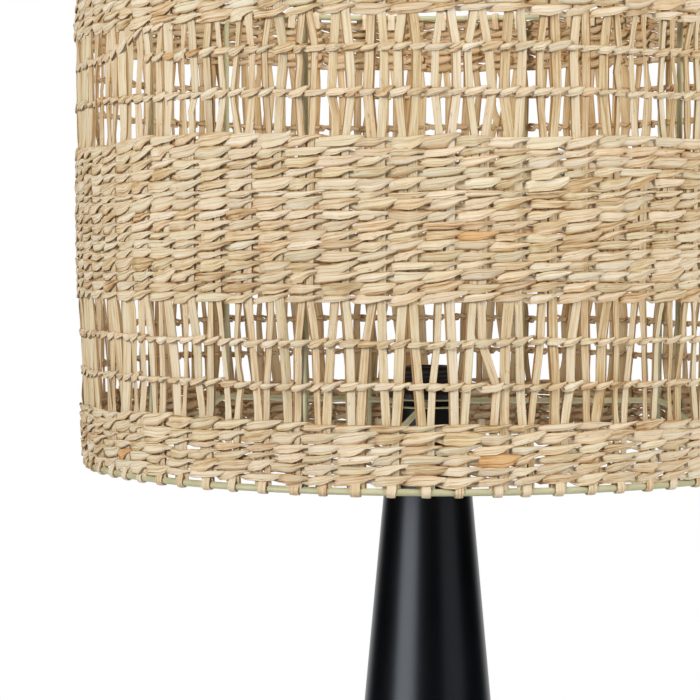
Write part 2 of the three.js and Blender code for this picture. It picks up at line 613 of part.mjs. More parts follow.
// A single row of twining laid round the strips
function twinedRow(below, above, share) {
  const inner = (stakeOuterRadius + SEAT_GAP) / Math.cos(Math.PI / BAND_SIDES);
  const z = THREE.MathUtils.lerp(below.top, above.foot, share);
  return revolve([
    [inner, z - ROW_HALF_HEIGHT],
    [inner + ROW_THICKNESS, z],
    [inner, z + ROW_HALF_HEIGHT],
  ], BAND_SIDES);
}

function buildCover() {
  place("lower_woven_band", wovenBand(lowerBand), RATTAN);
  place("middle_woven_band", wovenBand(middleBand), RATTAN);
  place("upper_woven_band",
    geometryOf(solid(wovenBand(upperBand)).add(partedStakes())), RATTAN);
  place("lower_openwork_strips", crossedStakes(), RATTAN);
  for (const [name, share] of Object.entries(TWINED_ROW_SHARES)) {
    const [below, above] = name.startsWith("lower")
      ? [lowerBand, middleBand] : [middleBand, upperBand];
    place(name, twinedRow(below, above, share), RATTAN);
  }
}

buildStand();
buildLampholder();
place("shade_clamp_ring", clampRing(), BLACK_PLASTIC);
buildFrame();
buildCover();

export default lamp;
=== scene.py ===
"""Rattan floor lamp: its visible pieces, finishes, studio and camera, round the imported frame."""

import math

import bpy
import numpy as np
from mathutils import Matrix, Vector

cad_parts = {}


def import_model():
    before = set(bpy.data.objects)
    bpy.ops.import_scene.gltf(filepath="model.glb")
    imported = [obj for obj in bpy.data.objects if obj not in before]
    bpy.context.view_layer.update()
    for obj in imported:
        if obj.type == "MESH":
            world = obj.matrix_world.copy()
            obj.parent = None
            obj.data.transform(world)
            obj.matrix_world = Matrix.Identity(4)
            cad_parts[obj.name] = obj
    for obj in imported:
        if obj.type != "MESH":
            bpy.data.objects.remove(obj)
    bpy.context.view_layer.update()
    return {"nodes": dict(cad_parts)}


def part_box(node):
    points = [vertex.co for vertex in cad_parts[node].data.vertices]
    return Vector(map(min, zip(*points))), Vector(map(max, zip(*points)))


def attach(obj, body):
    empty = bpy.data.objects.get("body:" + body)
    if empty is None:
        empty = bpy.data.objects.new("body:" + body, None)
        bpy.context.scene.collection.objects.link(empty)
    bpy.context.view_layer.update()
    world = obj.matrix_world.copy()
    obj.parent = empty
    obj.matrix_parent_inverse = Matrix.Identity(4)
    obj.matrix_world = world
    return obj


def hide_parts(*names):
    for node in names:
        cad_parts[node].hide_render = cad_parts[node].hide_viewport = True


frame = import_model()

# Lengths are in millimetres and angles in degrees from +X towards +Y, until a mesh is made.
MM = 0.001
FULL_TURN = 2 * math.pi


def add_object(name, data):
    made = bpy.data.objects.new(name, data)
    bpy.context.scene.collection.objects.link(made)
    return made


# Camera

CAMERA_PLACE = (0, -1.701, 1.3192)  # metres
CAMERA_PITCH_DOWN = 2.65
CAMERA_TURN_LEFT = 1.88
CAMERA_LENS = 122.6
SENSOR_WIDTH = 36


def set_camera():
    data = bpy.data.cameras.new("camera")
    data.lens = CAMERA_LENS
    data.sensor_width = SENSOR_WIDTH
    camera = add_object("camera", data)
    camera.location = CAMERA_PLACE
    camera.rotation_euler = (
        math.radians(90 - CAMERA_PITCH_DOWN), 0, math.radians(CAMERA_TURN_LEFT))
    bpy.context.scene.camera = camera


set_camera()


# Places read from the frame

def heights(node):
    """Foot and top of a CAD node."""
    low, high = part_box(node)
    return low.z / MM, high.z / MM


def middle_height(node):
    return sum(heights(node)) / 2


HOOP_PLANE = middle_height("lower_hoop")
UPPER_HOOP_PLANE = middle_height("upper_hoop")
HOOP_RADIUS = 242
HOOP_WIRE = 2.25  # the radius of the wire, as is WIRE
WIRE = 2
UPRIGHTS = 12
UPRIGHT_RADIUS = 240
UPRIGHT_START = -78.5
UPRIGHT_STEP = 360 / UPRIGHTS
ARMS = 3
ARM_START = -95
ARM_STEP = 360 / ARMS
STAND_TOP = heights("cone_body")[1]

LOWER_BAND = heights("lower_woven_band")
MIDDLE_BAND = heights("middle_woven_band")
UPPER_BAND = (UPPER_HOOP_PLANE - (LOWER_BAND[1] - HOOP_PLANE), heights("upper_woven_band")[1])
EDGE_ROWS = 6
MIDDLE_ROWS = 16
SINGLE_ROWS = (
    "lower_twined_row_1", "lower_twined_row_2", "upper_twined_row_1", "upper_twined_row_2")

PAIRS = 72
PAIR_STEP = 360 / PAIRS
MIDDLE_PAIR_START = 2.2
LOWER_PAIR_START = MIDDLE_PAIR_START - PAIR_STEP / 2


# Numbers that vary smoothly or by chance, the same in every run

def chance(seed):
    return np.random.default_rng(seed)


def wander(azimuths, seed, waves=(2, 5, 9, 14)):
    """A slow wave round the shade, within about 1 either way."""
    random = chance(seed)
    value = np.zeros_like(azimuths, dtype=float)
    for wave in waves:
        phase = random.uniform(0, FULL_TURN)
        size = random.uniform(0.6, 1.0) / (len(waves) ** 0.5)
        value += size * np.sin(np.radians(azimuths) * wave + phase)
    return value


def swell(place, middle, half_width):
    """1 at the middle, falling smoothly to nothing either side of it."""
    return np.exp(-((place - middle) / half_width) ** 2)


# Surface of the cover: the middle of the weave, where the upright strips lie

COVER_OUTLINE = np.array([  # height above the lower hoop, outermost radius
    (-2, 243.5), (3, 245), (20, 245.8), (42, 246), (64, 247), (91, 248), (116, 249.5),
    (167, 250), (245, 250), (272, 249.8), (292, 249.5), (310, 248.3), (331, 246), (336, 243.8)])
WEAVE_HALF_DEPTH = 2.75
UPRIGHT_BULGE = 1.9
BULGE_HALF_WIDTH = 3.2
BULGE_HEIGHTS = (0, 41, 60, 274, 293, 334)
BULGE_SHARES = (1, 1, 0, 0, 1, 1)


def weave_radius(azimuths, height):
    """Radius of the weave's middle; it bulges where an edge band passes an upright wire."""
    above_hoop = np.asarray(height) - HOOP_PLANE
    radius = np.interp(above_hoop, *COVER_OUTLINE.T) - WEAVE_HALF_DEPTH
    half_step = UPRIGHT_STEP / 2
    from_wire = (azimuths - UPRIGHT_START + half_step) % UPRIGHT_STEP - half_step
    near_wire = swell(from_wire, 0, BULGE_HALF_WIDTH)
    return radius + UPRIGHT_BULGE * near_wire * np.interp(above_hoop, BULGE_HEIGHTS, BULGE_SHARES)


def around(azimuths, radius, height):
    """Points at an azimuth, radius and height."""
    angle = np.radians(azimuths)
    return np.stack(np.broadcast_arrays(
        radius * np.cos(angle), radius * np.sin(angle), height), axis=-1)


# Meshes

LONGEST_CUT = 0.45  # of a side, where a corner is rounded


def unit(vectors):
    return vectors / np.linalg.norm(vectors, axis=-1, keepdims=True)


def soften(points, reach, steps=3, closed=True):
    """A polyline with its corners rounded."""
    points = np.asarray(points, dtype=float)
    made = []
    for i, corner in enumerate(points):
        if not closed and i in (0, len(points) - 1):
            made.append(corner)
            continue
        away = [side - corner for side in (points[i - 1], points[(i + 1) % len(points)])]
        lengths = [np.linalg.norm(side) for side in away]
        cut = min(reach, LONGEST_CUT * min(lengths))
        start, end = (corner + side / length * cut for side, length in zip(away, lengths))
        for t in np.linspace(0, 1, steps + 1):
            made.append((1 - t) ** 2 * start + 2 * t * (1 - t) * corner + t ** 2 * end)
    return np.array(made)


def loft(rings, closed=False):
    """Points and faces over rings, shaped (rings, points, 3); open ends get a face."""
    stations, count = rings.shape[:2]
    index = np.arange(stations * count).reshape(stations, count)
    beside = np.roll(index, -1, axis=1)
    onward, onward_beside = (np.roll(part, -1, axis=0) for part in (index, beside))
    quads = np.stack([index, onward, onward_beside, beside], axis=-1)
    quads = (quads if closed else quads[:-1]).reshape(-1, 4)
    faces = quads.tolist()
    if not closed:
        faces += [index[0].tolist(), index[-1, ::-1].tolist()]
    points = rings.reshape(-1, 3)
    a, b, c, d = (points[quads[:, i]] - points[0] for i in range(4))
    volume = np.einsum("ij,ij->i", a, np.cross(b, c) + np.cross(c, d)).sum()
    if volume < 0:
        faces = [face[::-1] for face in faces]
    return points, faces


def smooth(mesh, sharp):
    mesh.polygons.foreach_set("use_smooth", np.ones(len(mesh.polygons), dtype=bool))
    mesh.set_sharp_from_angle(angle=math.radians(sharp))


def make_mesh(name, points, faces, run=None, sharp=40):
    """A mesh object in metres. run gives each point's place along and across its strand."""
    mesh = bpy.data.meshes.new(name)
    mesh.from_pydata((points * MM).tolist(), [], faces)
    smooth(mesh, sharp)
    if run is not None:
        corners = np.empty(len(mesh.loops), dtype=np.int32)
        mesh.loops.foreach_get("vertex_index", corners)
        layer = mesh.uv_layers.new(name="run")
        layer.data.foreach_set("uv", run.reshape(-1, 2)[corners].astype(np.float32).ravel())
    mesh.validate()
    return add_object(name, mesh)


def mark_points(mesh, marks):
    """Stores a number or a vector with each point, under the mark's name."""
    for name, values in marks.items():
        values = np.ascontiguousarray(values, dtype=np.float32)
        kind, field = ("FLOAT_VECTOR", "vector") if values.ndim > 1 else ("FLOAT", "value")
        mesh.attributes.new(name, kind, "POINT").data.foreach_set(field, values.ravel())


def lathe(profile, segments, shape=None):
    """A closed profile of (radius, height) turned about Z. shape(angle, radius, z) may move
    the radius."""
    angle = np.arange(segments)[:, None] * FULL_TURN / segments
    radius, z = (np.broadcast_to(part, (segments, len(profile))) for part in profile.T)
    if shape:
        radius = shape(angle, radius, z)
    return loft(np.stack([radius * np.cos(angle), radius * np.sin(angle), z], axis=-1), True)


def wire(path, side, radius, closed=False, sides=12):
    """A round wire along a flat path; side is square to the path's plane."""
    if closed:
        along = np.roll(path, -1, axis=0) - np.roll(path, 1, axis=0)
    else:
        along = np.gradient(path, axis=0)
    other = np.cross(side, unit(along))
    angle = np.arange(sides) * FULL_TURN / sides
    return loft(path[:, None] + radius * (np.cos(angle)[None, :, None] * side
                + np.sin(angle)[None, :, None] * other[:, None]), closed)


# Node trees

def connect(tree, value, socket):
    if isinstance(value, bpy.types.NodeSocket):
        tree.links.new(value, socket)
    else:
        socket.default_value = value


def add_node(tree, kind, inputs=None, **settings):
    made = tree.nodes.new(kind)
    for name, value in settings.items():
        setattr(made, name, value)
    for socket, value in (inputs or {}).items():
        connect(tree, value, made.inputs[socket])
    return made


def maths(tree, operation, first, second=0.0, third=0.0):
    return add_node(tree, "ShaderNodeMath", {0: first, 1: second, 2: third},
                    operation=operation).outputs[0]


def combine(tree, x=0.0, y=0.0, z=0.0):
    return add_node(tree, "ShaderNodeCombineXYZ", {"X": x, "Y": y, "Z": z}).outputs[0]


def separate(tree, vector):
    return add_node(tree, "ShaderNodeSeparateXYZ", {0: vector}).outputs


def fit_range(tree, value, before, after=(0.0, 1.0), **settings):
    """A value moved from one range into another."""
    return add_node(tree, "ShaderNodeMapRange", {
        "Value": value, "From Min": before[0], "From Max": before[1],
        "To Min": after[0], "To Max": after[1]}, **settings).outputs["Result"]


def mix(tree, share, first, second, kind="RGBA", **settings):
    """A mix of two colours, or of two numbers where kind is FLOAT."""
    a, b, output = {"RGBA": (6, 7, 2), "FLOAT": (2, 3, 0)}[kind]
    return add_node(tree, "ShaderNodeMix", {0: share, a: first, b: second},
                    data_type=kind, **settings).outputs[output]


def multiply(tree, first, second):
    return mix(tree, 1.0, first, second, blend_type="MULTIPLY")


def new_tree(name, kind, inputs, outputs):
    """A node tree with named sockets, its input's sockets and its output node's."""
    tree = bpy.data.node_groups.new(name, kind)
    for direction, sockets in (("INPUT", inputs), ("OUTPUT", outputs)):
        for label, kind_of_socket in sockets.items():
            tree.interface.new_socket(
                name=label, in_out=direction, socket_type="NodeSocket" + kind_of_socket)
    return (tree, tree.nodes.new("NodeGroupInput").outputs,
            tree.nodes.new("NodeGroupOutput").inputs)


# Finishes

def colour(red, green, blue):
    """A display colour of 0 to 255 as the linear colour that a shader takes."""
    linear = [((c / 255 + 0.055) / 1.055) ** 2.4 if c > 10 else c / 255 / 12.92
              for c in (red, green, blue)]
    return (*linear, 1)


def make_ramp(tree, value, stops):
    made = add_node(tree, "ShaderNodeValToRGB", {"Fac": value})
    elements = made.color_ramp.elements
    while len(elements) < len(stops):
        elements.new(0.5)
    for element, (place, tint) in zip(elements, stops):
        element.position = place
        element.color = tint
    return made.outputs["Color"]


def new_finish(name, constants):
    """A material, its tree and its Principled shader with the constants set on it."""
    material = bpy.data.materials.new(name)
    material.use_nodes = True
    shader = material.node_tree.nodes["Principled BSDF"]
    for socket, value in constants.items():
        shader.inputs[socket].default_value = value
    return material, material.node_tree, shader


def dress(tree, shader, tint, roughness, height, strength, distance):
    """Leads a colour, a roughness and a relief to the shader."""
    relief = add_node(tree, "ShaderNodeBump", {
        "Strength": strength, "Distance": distance, "Height": height})
    for socket, value in (
            ("Base Color", tint), ("Roughness", roughness), ("Normal", relief.outputs[0])):
        connect(tree, value, shader.inputs[socket])


CANE_LINES = (  # name, stretch along and across, step from strand to strand, detail
    ("Streak", 0.035, 0.75, 57, 4), ("Fibre", 0.07, 3.4, 31, 3), ("Blemish", 0.16, 0.45, 11, 2))
BLEMISH_RANGE = (0.66, 0.74)


def cane_figure():
    """Streaks, fibres and blemishes that run along a strand."""
    tree, given, result = new_tree(
        "cane_figure", "ShaderNodeTree", dict.fromkeys(("Along", "Across", "Seed"), "Float"),
        {label: "Float" for label, *_ in CANE_LINES})
    for label, *factors, detail in CANE_LINES:
        place = combine(tree, *(maths(tree, "MULTIPLY", given[i], factor)
                                for i, factor in enumerate(factors)))
        value = add_node(tree, "ShaderNodeTexNoise", {
            "Vector": place, "Scale": 1.0, "Detail": detail, "Roughness": 0.6}).outputs["Fac"]
        if label == "Blemish":
            value = fit_range(tree, value, BLEMISH_RANGE)
        connect(tree, value, result[label])
    return tree


def surface_grain():
    """Fine grain over a piece: a mask for its tone and shine, and a height."""
    tree, given, result = new_tree(
        "surface_grain", "ShaderNodeTree", {"Coarse": "Float", "Fine": "Float"},
        {"Mask": "Float", "Height": "Float"})
    place = add_node(tree, "ShaderNodeTexCoord").outputs["Object"]
    for output, scale, detail in (("Mask", "Coarse", 5), ("Height", "Fine", 3)):
        noise = add_node(tree, "ShaderNodeTexNoise", {
            "Vector": place, "Scale": given[scale], "Detail": detail})
        connect(tree, noise.outputs["Fac"], result[output])
    return tree


CANE_FIGURE = cane_figure()
SURFACE_GRAIN = surface_grain()
CANE_TONES = (
    (0.0, colour(138, 96, 50)), (0.2, colour(184, 152, 109)), (0.42, colour(207, 187, 154)),
    (0.66, colour(216, 202, 178)), (1.0, colour(222, 213, 195)))
CANE_HUES = (  # multiplied with the tone
    (0.0, (0.95, 0.985, 0.93, 1)), (0.3, (0.98, 1, 0.98, 1)), (0.5, (1, 1, 1, 1)),
    (0.66, (1.01, 0.995, 0.985, 1)), (0.8, (1.01, 0.97, 0.94, 1)), (0.965, (1.0, 0.93, 0.87, 1)),
    (0.975, (0.96, 0.78, 0.56, 1)), (1.0, (0.94, 0.68, 0.42, 1)))
PITH_AND_SHADE_TINTS = (  # multiplied with the colour of the cane, from its skin to its browner pith side; the same browning is painted shade at the rims, creases and inner faces
    (0.0, (1, 1, 1, 1)), (0.3, (0.95, 0.86, 0.74, 1)), (1.0, (0.42, 0.265, 0.125, 1)))
BLEMISH_COLOUR = colour(150, 104, 62)
BLEMISH_STRENGTH = 0.55
CANE_ROUGHNESS = (0.25, 0.48)  # more in a streak, and the least
FIBRE_HEIGHT = 0.5  # beside that of a streak


def cane_finish(name, streak_size, bump):
    """Natural split cane. The strand's tone, hue and seed come with its mesh."""
    material, tree, shader = new_finish(name, {"Specular IOR Level": 0.35})

    def stored(label):
        return add_node(tree, "ShaderNodeAttribute", attribute_name=label).outputs

    tone, hue, seed = separate(tree, stored("look")["Vector"])
    run = separate(tree, add_node(tree, "ShaderNodeUVMap", uv_map="run").outputs["UV"])
    lines = add_node(tree, "ShaderNodeGroup", {
        "Along": run["X"], "Across": run["Y"], "Seed": seed}, node_tree=CANE_FIGURE).outputs
    streak = maths(tree, "SUBTRACT", lines["Streak"], 0.5)
    base = make_ramp(tree, maths(tree, "MULTIPLY_ADD", streak, streak_size, tone), CANE_TONES)
    tinted = multiply(tree, base, make_ramp(tree, hue, CANE_HUES))
    blemished = mix(tree, maths(tree, "MULTIPLY", lines["Blemish"], BLEMISH_STRENGTH),
                    tinted, BLEMISH_COLOUR)
    # browner pith side, and painted shade at the rims, in the crease and on the inner face
    pith_and_shade_tinted = multiply(tree, blemished, make_ramp(tree, stored("pith")["Fac"], PITH_AND_SHADE_TINTS))
    dress(tree, shader, pith_and_shade_tinted, maths(tree, "MULTIPLY_ADD", lines["Streak"], *CANE_ROUGHNESS),
          maths(tree, "MULTIPLY_ADD", lines["Fibre"], FIBRE_HEIGHT, lines["Streak"]), 0.5, bump)
    return material


def plain_finish(name, dark, light, shine, coarse=60.0, fine=900.0, bump=0.00005, metallic=0.0,
                 gloss_tint=(1, 1, 1, 1)):
    """A finish whose tone and shine vary a little with the surface grain."""
    material, tree, shader = new_finish(
        name, {"Metallic": metallic, "Specular Tint": gloss_tint})
    lines = add_node(tree, "ShaderNodeGroup", {"Coarse": coarse, "Fine": fine},
                     node_tree=SURFACE_GRAIN).outputs
    tint = make_ramp(tree, lines["Mask"], ((0.3, colour(*dark)), (0.7, colour(*light))))
    dress(tree, shader, tint, fit_range(tree, lines["Mask"], (0.0, 1.0), shine),
          lines["Height"], 0.4, bump)
    return material


STRAND_CANE = cane_finish("strand_cane", 1.7, 0.0007)
STRIP_CANE = cane_finish("strip_cane", 1.2, 0.0004)
FINISHES = {  # for each slot but rattan
    "sage_enamel": plain_finish("sage_enamel", (170, 165, 127), (188, 183, 147), (0.34, 0.5)),
    "black_steel": plain_finish(
        "black_steel_enamel", (2, 3, 5), (4, 5, 8), (0.28, 0.33), coarse=25.0, fine=1600.0,
        bump=0.00002, gloss_tint=(0.82, 0.9, 1, 1)),
    "black_plastic": plain_finish(
        "black_plastic", (14, 14, 15), (22, 22, 24), (0.38, 0.55), coarse=120.0),
    "cream_plastic": plain_finish(
        "cream_thermoset", (206, 198, 176), (218, 210, 190), (0.45, 0.6), coarse=200.0),
    "brass": plain_finish(
        "rolled_brass", (172, 134, 62), (200, 164, 92), (0.24, 0.4), coarse=150.0, metallic=1.0),
    "zinc_steel": plain_finish(
        "zinc_steel", (150, 152, 156), (184, 187, 192), (0.28, 0.46), coarse=180.0,
        metallic=1.0),
    "cast_iron": plain_finish(
        "cast_iron", (34, 34, 35), (58, 58, 60), (0.6, 0.8), coarse=90.0, fine=700.0,
        bump=0.0004, metallic=0.4),
    "felt": plain_finish(
        "pressed_felt", (24, 24, 25), (44, 44, 46), (0.9, 1.0), coarse=500.0, fine=2500.0,
        bump=0.0004)}


def finish_piece(piece, body, slot, *replaced):
    """Gives a piece without a material the slot's finish, sets it under its body's empty and hides
    the CAD nodes it replaces.
    """
    if not piece.data.materials:
        piece.data.materials.append(FINISHES[slot])
    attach(piece, body)
    if replaced:
        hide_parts(*replaced)


# Geometry nodes

def apply_tree(piece, tree, values):
    """Runs a tree on a piece and leaves the piece as the plain mesh of the result."""
    modifier = piece.modifiers.new(tree.name, "NODES")
    modifier.node_group = tree
    for socket in tree.interface.items_tree:
        if socket.in_out == "INPUT" and socket.name in values:
            modifier[socket.identifier] = values[socket.name]
    depsgraph = bpy.context.evaluated_depsgraph_get()
    mesh = bpy.data.meshes.new_from_object(
        piece.evaluated_get(depsgraph), preserve_all_data_layers=True, depsgraph=depsgraph)
    piece.modifiers.clear()
    piece.data = mesh
    mesh.name = piece.name
    return mesh


def position(tree):
    return add_node(tree, "GeometryNodeInputPosition").outputs[0]


def marked(tree, name, data_type="FLOAT"):
    return add_node(tree, "GeometryNodeInputNamedAttribute", {"Name": name},
                    data_type=data_type).outputs["Attribute"]


def mark(tree, geometry, name, value, data_type, domain="POINT"):
    return add_node(tree, "GeometryNodeStoreNamedAttribute", {
        "Geometry": geometry, "Name": name, "Value": value},
        data_type=data_type, domain=domain).outputs[0]


def end_tree(tree, geometry, finish, result):
    """Makes the geometry real and gives it its finish."""
    real = add_node(tree, "GeometryNodeRealizeInstances", {"Geometry": geometry})
    done = add_node(tree, "GeometryNodeSetMaterial", {
        "Geometry": real.outputs[0], "Material": finish})
    connect(tree, done.outputs[0], result["Mesh"])


COPIED = ("First piece", "Second piece", "Third piece")


def setting_out_tree():
    """Copies of three like pieces, on points round the axis, face out from it and lean by
    their point's lean. Each copy carries the look of its strand."""
    tree, given, result = new_tree(
        "set_out_round_axis", "GeometryNodeTree",
        {"Points": "Geometry", **dict.fromkeys(COPIED, "Object"), "Finish": "Material",
         **dict.fromkeys(("Length play", "Width play", "Tilt play"), "Float"), "Seed": "Int"},
        {"Mesh": "Geometry"})

    def play(label, offset, centre=0.0):
        """A random number about the centre, different for each copy."""
        return add_node(tree, "FunctionNodeRandomValue", {
            2: maths(tree, "SUBTRACT", centre, given[label]),
            3: maths(tree, "ADD", centre, given[label]),
            "Seed": maths(tree, "ADD", given["Seed"], offset)}, data_type="FLOAT").outputs[1]

    pieces = add_node(tree, "GeometryNodeJoinGeometry")
    for label in COPIED:
        one = add_node(tree, "GeometryNodeObjectInfo", {
            "Object": given[label], "As Instance": True})
        tree.links.new(one.outputs["Geometry"], pieces.inputs[0])
    x, y, _ = separate(tree, position(tree))
    turn = combine(tree, x=maths(tree, "ADD", marked(tree, "lean"), play("Tilt play", 1)),
                   z=maths(tree, "ARCTAN2", y, x))
    size = combine(tree, 1.0, play("Length play", 2, 1.0), play("Width play", 3, 1.0))
    which = add_node(tree, "FunctionNodeRandomValue", {4: 0, 5: 2, "Seed": given["Seed"]},
                     data_type="INT").outputs[2]
    rotation = add_node(tree, "FunctionNodeEulerToRotation", {0: turn})
    copies = add_node(tree, "GeometryNodeInstanceOnPoints", {
        "Points": given["Points"], "Instance": pieces.outputs[0], "Pick Instance": True,
        "Instance Index": which, "Rotation": rotation.outputs[0], "Scale": size})
    looks = mark(tree, copies.outputs[0], "look", marked(tree, "mark", "FLOAT_VECTOR"),
                 "FLOAT_VECTOR", "INSTANCE")
    end_tree(tree, looks, given["Finish"], result)
    return tree


def sweeping_tree():
    """A strand's section, in half widths and half depths, follows the frame that each point of
    its path carries. The section's third number is how much of the browner pith side shows there,
    and also how much painted shade its rims, crease and inner face get."""
    tree, given, result = new_tree(
        "sweep_strands", "GeometryNodeTree",
        {"Paths": "Geometry", "Section": "Object", "Half width": "Float",
         "Half depth": "Float", "Finish": "Material"}, {"Mesh": "Geometry"})

    def vector(name):
        return marked(tree, name, "FLOAT_VECTOR")

    def along(direction, share, half_size, size_mark):
        """How far a skin point stands from its path's point in a direction, as a vector too."""
        reach = maths(tree, "MULTIPLY", share,
                      maths(tree, "MULTIPLY", given[half_size], marked(tree, size_mark)))
        return reach, add_node(tree, "ShaderNodeVectorMath", {
            "Vector": vector(direction), "Scale": reach}, operation="SCALE").outputs[0]

    here = position(tree)
    shape = add_node(tree, "GeometryNodeObjectInfo", {"Object": given["Section"]})
    section = add_node(tree, "GeometryNodeMeshToCurve", {"Mesh": shape.outputs["Geometry"]})
    rails = add_node(tree, "GeometryNodeMeshToCurve", {"Mesh": given["Paths"]})
    skin = add_node(tree, "GeometryNodeCurveToMesh", {
        "Curve": mark(tree, rails.outputs[0], "centre", here, "FLOAT_VECTOR"),
        "Profile Curve": mark(tree, section.outputs[0], "section_place", here, "FLOAT_VECTOR"),
        "Fill Caps": True})
    x, y, pith = separate(tree, vector("section_place"))
    across, sideways = along("upward", x, "Half width", "width")
    _, outwards = along("outward", y, "Half depth", "depth")
    offset = add_node(tree, "ShaderNodeVectorMath", {0: sideways, 1: outwards}, operation="ADD")
    moved = add_node(tree, "GeometryNodeSetPosition", {
        "Geometry": skin.outputs[0], "Position": vector("centre"), "Offset": offset.outputs[0]})
    run = combine(tree, marked(tree, "length"), maths(tree, "DIVIDE", across, MM))
    measured = mark(tree, moved.outputs[0], "run", run, "FLOAT2", "CORNER")
    # pith side and painted shade, for the finish's browning
    end_tree(tree, mark(tree, measured, "pith", pith, "FLOAT"), given["Finish"], result)
    return tree


SETTING_OUT = setting_out_tree()
SWEEPING = sweeping_tree()


def set_out(name, azimuths, radius, z, pieces, slot, finish, seed, length_play, width_play=0.0,
            tilt_play=0.0, lean=0.0, look=(0.5, 0.5, 0.5)):
    """Copies the pieces to points round the shade, as one piece, and discards them."""
    points = around(azimuths, radius, z)
    guide = make_mesh(name, points, [])
    mark_points(guide.data, {"lean": np.broadcast_to(lean, len(points)),
                             "mark": np.broadcast_to(look, points.shape)})
    apply_tree(guide, SETTING_OUT, {
        **dict(zip(COPIED, pieces)), "Finish": finish, "Length play": length_play,
        "Width play": width_play, "Tilt play": tilt_play, "Seed": seed})
    finish_piece(guide, "shade", slot)
    discard(pieces)


def discard(pieces):
    for piece in pieces:
        bpy.data.objects.remove(piece)


def section_loops(name, outlines):
    """Closed outlines of (half widths, half depths, pith) for the sweep."""
    made = []
    for i, points in enumerate(outlines):
        mesh = bpy.data.meshes.new(f"{name}_{i}")
        count = len(points)
        mesh.from_pydata(points, [(j, (j + 1) % count) for j in range(count)], [])
        made.append(add_object(mesh.name, mesh))
    return made


def sweep(name, paths, sections, kinds, width, depth, finish, sharp):
    """Sweeps each path, shaped (paths, stations), with the section of its kind, and joins
    them. Width and depth are in millimetres."""
    parts = []
    for kind, section in enumerate(sections):
        own = {key: values[kinds == kind] for key, values in paths.items()}
        if not len(own["centre"]):
            continue
        count, stations = own["centre"].shape[:2]
        index = np.arange(count * stations).reshape(count, stations)
        edges = np.stack([index[:, :-1], index[:, 1:]], axis=-1).reshape(-1, 2)
        flat = {key: values.reshape(-1, *values.shape[2:]) for key, values in own.items()}
        mesh = bpy.data.meshes.new(f"{name}_{kind}")
        mesh.from_pydata((flat.pop("centre") * MM).tolist(), edges.tolist(), [])
        mark_points(mesh, flat)
        piece = add_object(mesh.name, mesh)
        mesh = apply_tree(piece, SWEEPING, {
            "Section": section, "Half width": width / 2 * MM, "Half depth": depth / 2 * MM,
            "Finish": finish})
        for key in ("centre", "section_place", "upward", "outward", "width", "depth", "length"):
            if key in mesh.attributes:
                mesh.attributes.remove(mesh.attributes[key])
        face_outwards(mesh)
        smooth(mesh, sharp)
        parts.append(piece)
    return join_objects(name, parts)


def face_outwards(mesh):
    """Turns the mesh the right way round if its volume comes out below zero."""
    mesh.calc_loop_triangles()
    corners = np.empty(3 * len(mesh.loop_triangles), dtype=np.int32)
    mesh.loop_triangles.foreach_get("vertices", corners)
    points = np.empty(3 * len(mesh.vertices), dtype=np.float32)
    mesh.vertices.foreach_get("co", points)
    a, b, c = points.reshape(-1, 3).astype(float)[corners.reshape(-1, 3)].transpose(1, 0, 2)
    if np.einsum("ij,ij->i", a, np.cross(b, c)).sum() < 0:
        mesh.flip_normals()


def join_objects(name, objects):
    """Objects at the origin as one."""
    first = objects[0]
    with bpy.context.temp_override(
            active_object=first, selected_editable_objects=objects, selected_objects=objects):
        bpy.ops.object.join()
    first.name = name
    first.data.name = name
    return first


def frame_of(centre, twist):
    """Directions across and out of strands at each station, turned by a twist in radians."""
    run = unit(np.gradient(centre, axis=1))
    outward = unit(centre * (1, 1, 0))
    outward = unit(outward - run * np.sum(outward * run, axis=-1, keepdims=True))
    across = np.cross(outward, run)
    cos, sin = np.cos(twist)[..., None], np.sin(twist)[..., None]
    return across * cos + outward * sin, outward * cos - across * sin


def run_lengths(centre):
    steps = np.linalg.norm(np.diff(centre, axis=1), axis=-1)
    return np.concatenate([np.zeros((len(centre), 1)), np.cumsum(steps, axis=1)], axis=1)


# Twined rows. Two strands twist half a turn round each other between pairs of strips. Each comes
# out beside one pair, floats over the next and runs out in a tip that rises over its fellow. At a
# tight crossing both strands are narrow. At an open one the tip rises early and leaves a gap.

TIGHT = np.array([  # place in pairs, distance out, width, rise, turn
    (-0.46, 0.05, 0.50, -0.90, 0.7), (-0.36, 0.45, 0.76, -0.45, 0.4),
    (-0.24, 0.85, 0.95, -0.08, 0.1), (-0.06, 1.00, 1.00, 0.00, 0.0),
    (0.18, 1.02, 1.00, 0.00, 0.0), (0.42, 1.05, 0.88, 0.22, 0.1),
    (0.59, 1.02, 0.62, 0.66, 0.4), (0.72, 0.80, 0.42, 0.98, 0.7),
    (0.81, 0.05, 0.30, 1.02, 0.9)])
OPEN = np.array([
    (-0.39, -0.40, 0.80, -0.38, 0.4), (-0.35, 0.50, 0.92, -0.24, 0.2),
    (-0.22, 0.95, 0.98, -0.06, 0.1), (-0.08, 1.00, 1.00, 0.00, 0.0),
    (0.06, 1.00, 0.98, 0.06, 0.0), (0.24, 1.00, 0.72, 0.48, 0.2),
    (0.41, 0.98, 0.46, 0.92, 0.4), (0.62, 0.86, 0.34, 1.12, 0.6),
    (0.74, 0.05, 0.30, 1.08, 0.8)])
INSIDE = np.array([
    (-0.10, -0.90, 0.70, 0.50, 0.4), (0.08, -1.00, 0.92, 0.00, 0.1),
    (0.26, -0.95, 0.82, -0.35, 0.2), (0.41, -0.55, 0.58, -0.65, 0.6)])
TIP_FROM = 4  # the first station of a float that belongs to its tip
ROW_SEED = 9000
HABIT = (0.1, 0.75)  # how much more open every other crossing of a row is
FAVOUR = 0.4  # how much that varies round the shade
FAVOUR_SEED = 4000
OPENNESS = (0.05, 1.25)
CROSSING_WIDTH = 0.4  # of a strand's own width
CROSSING_FROM = 0.2  # pairs from a float's middle
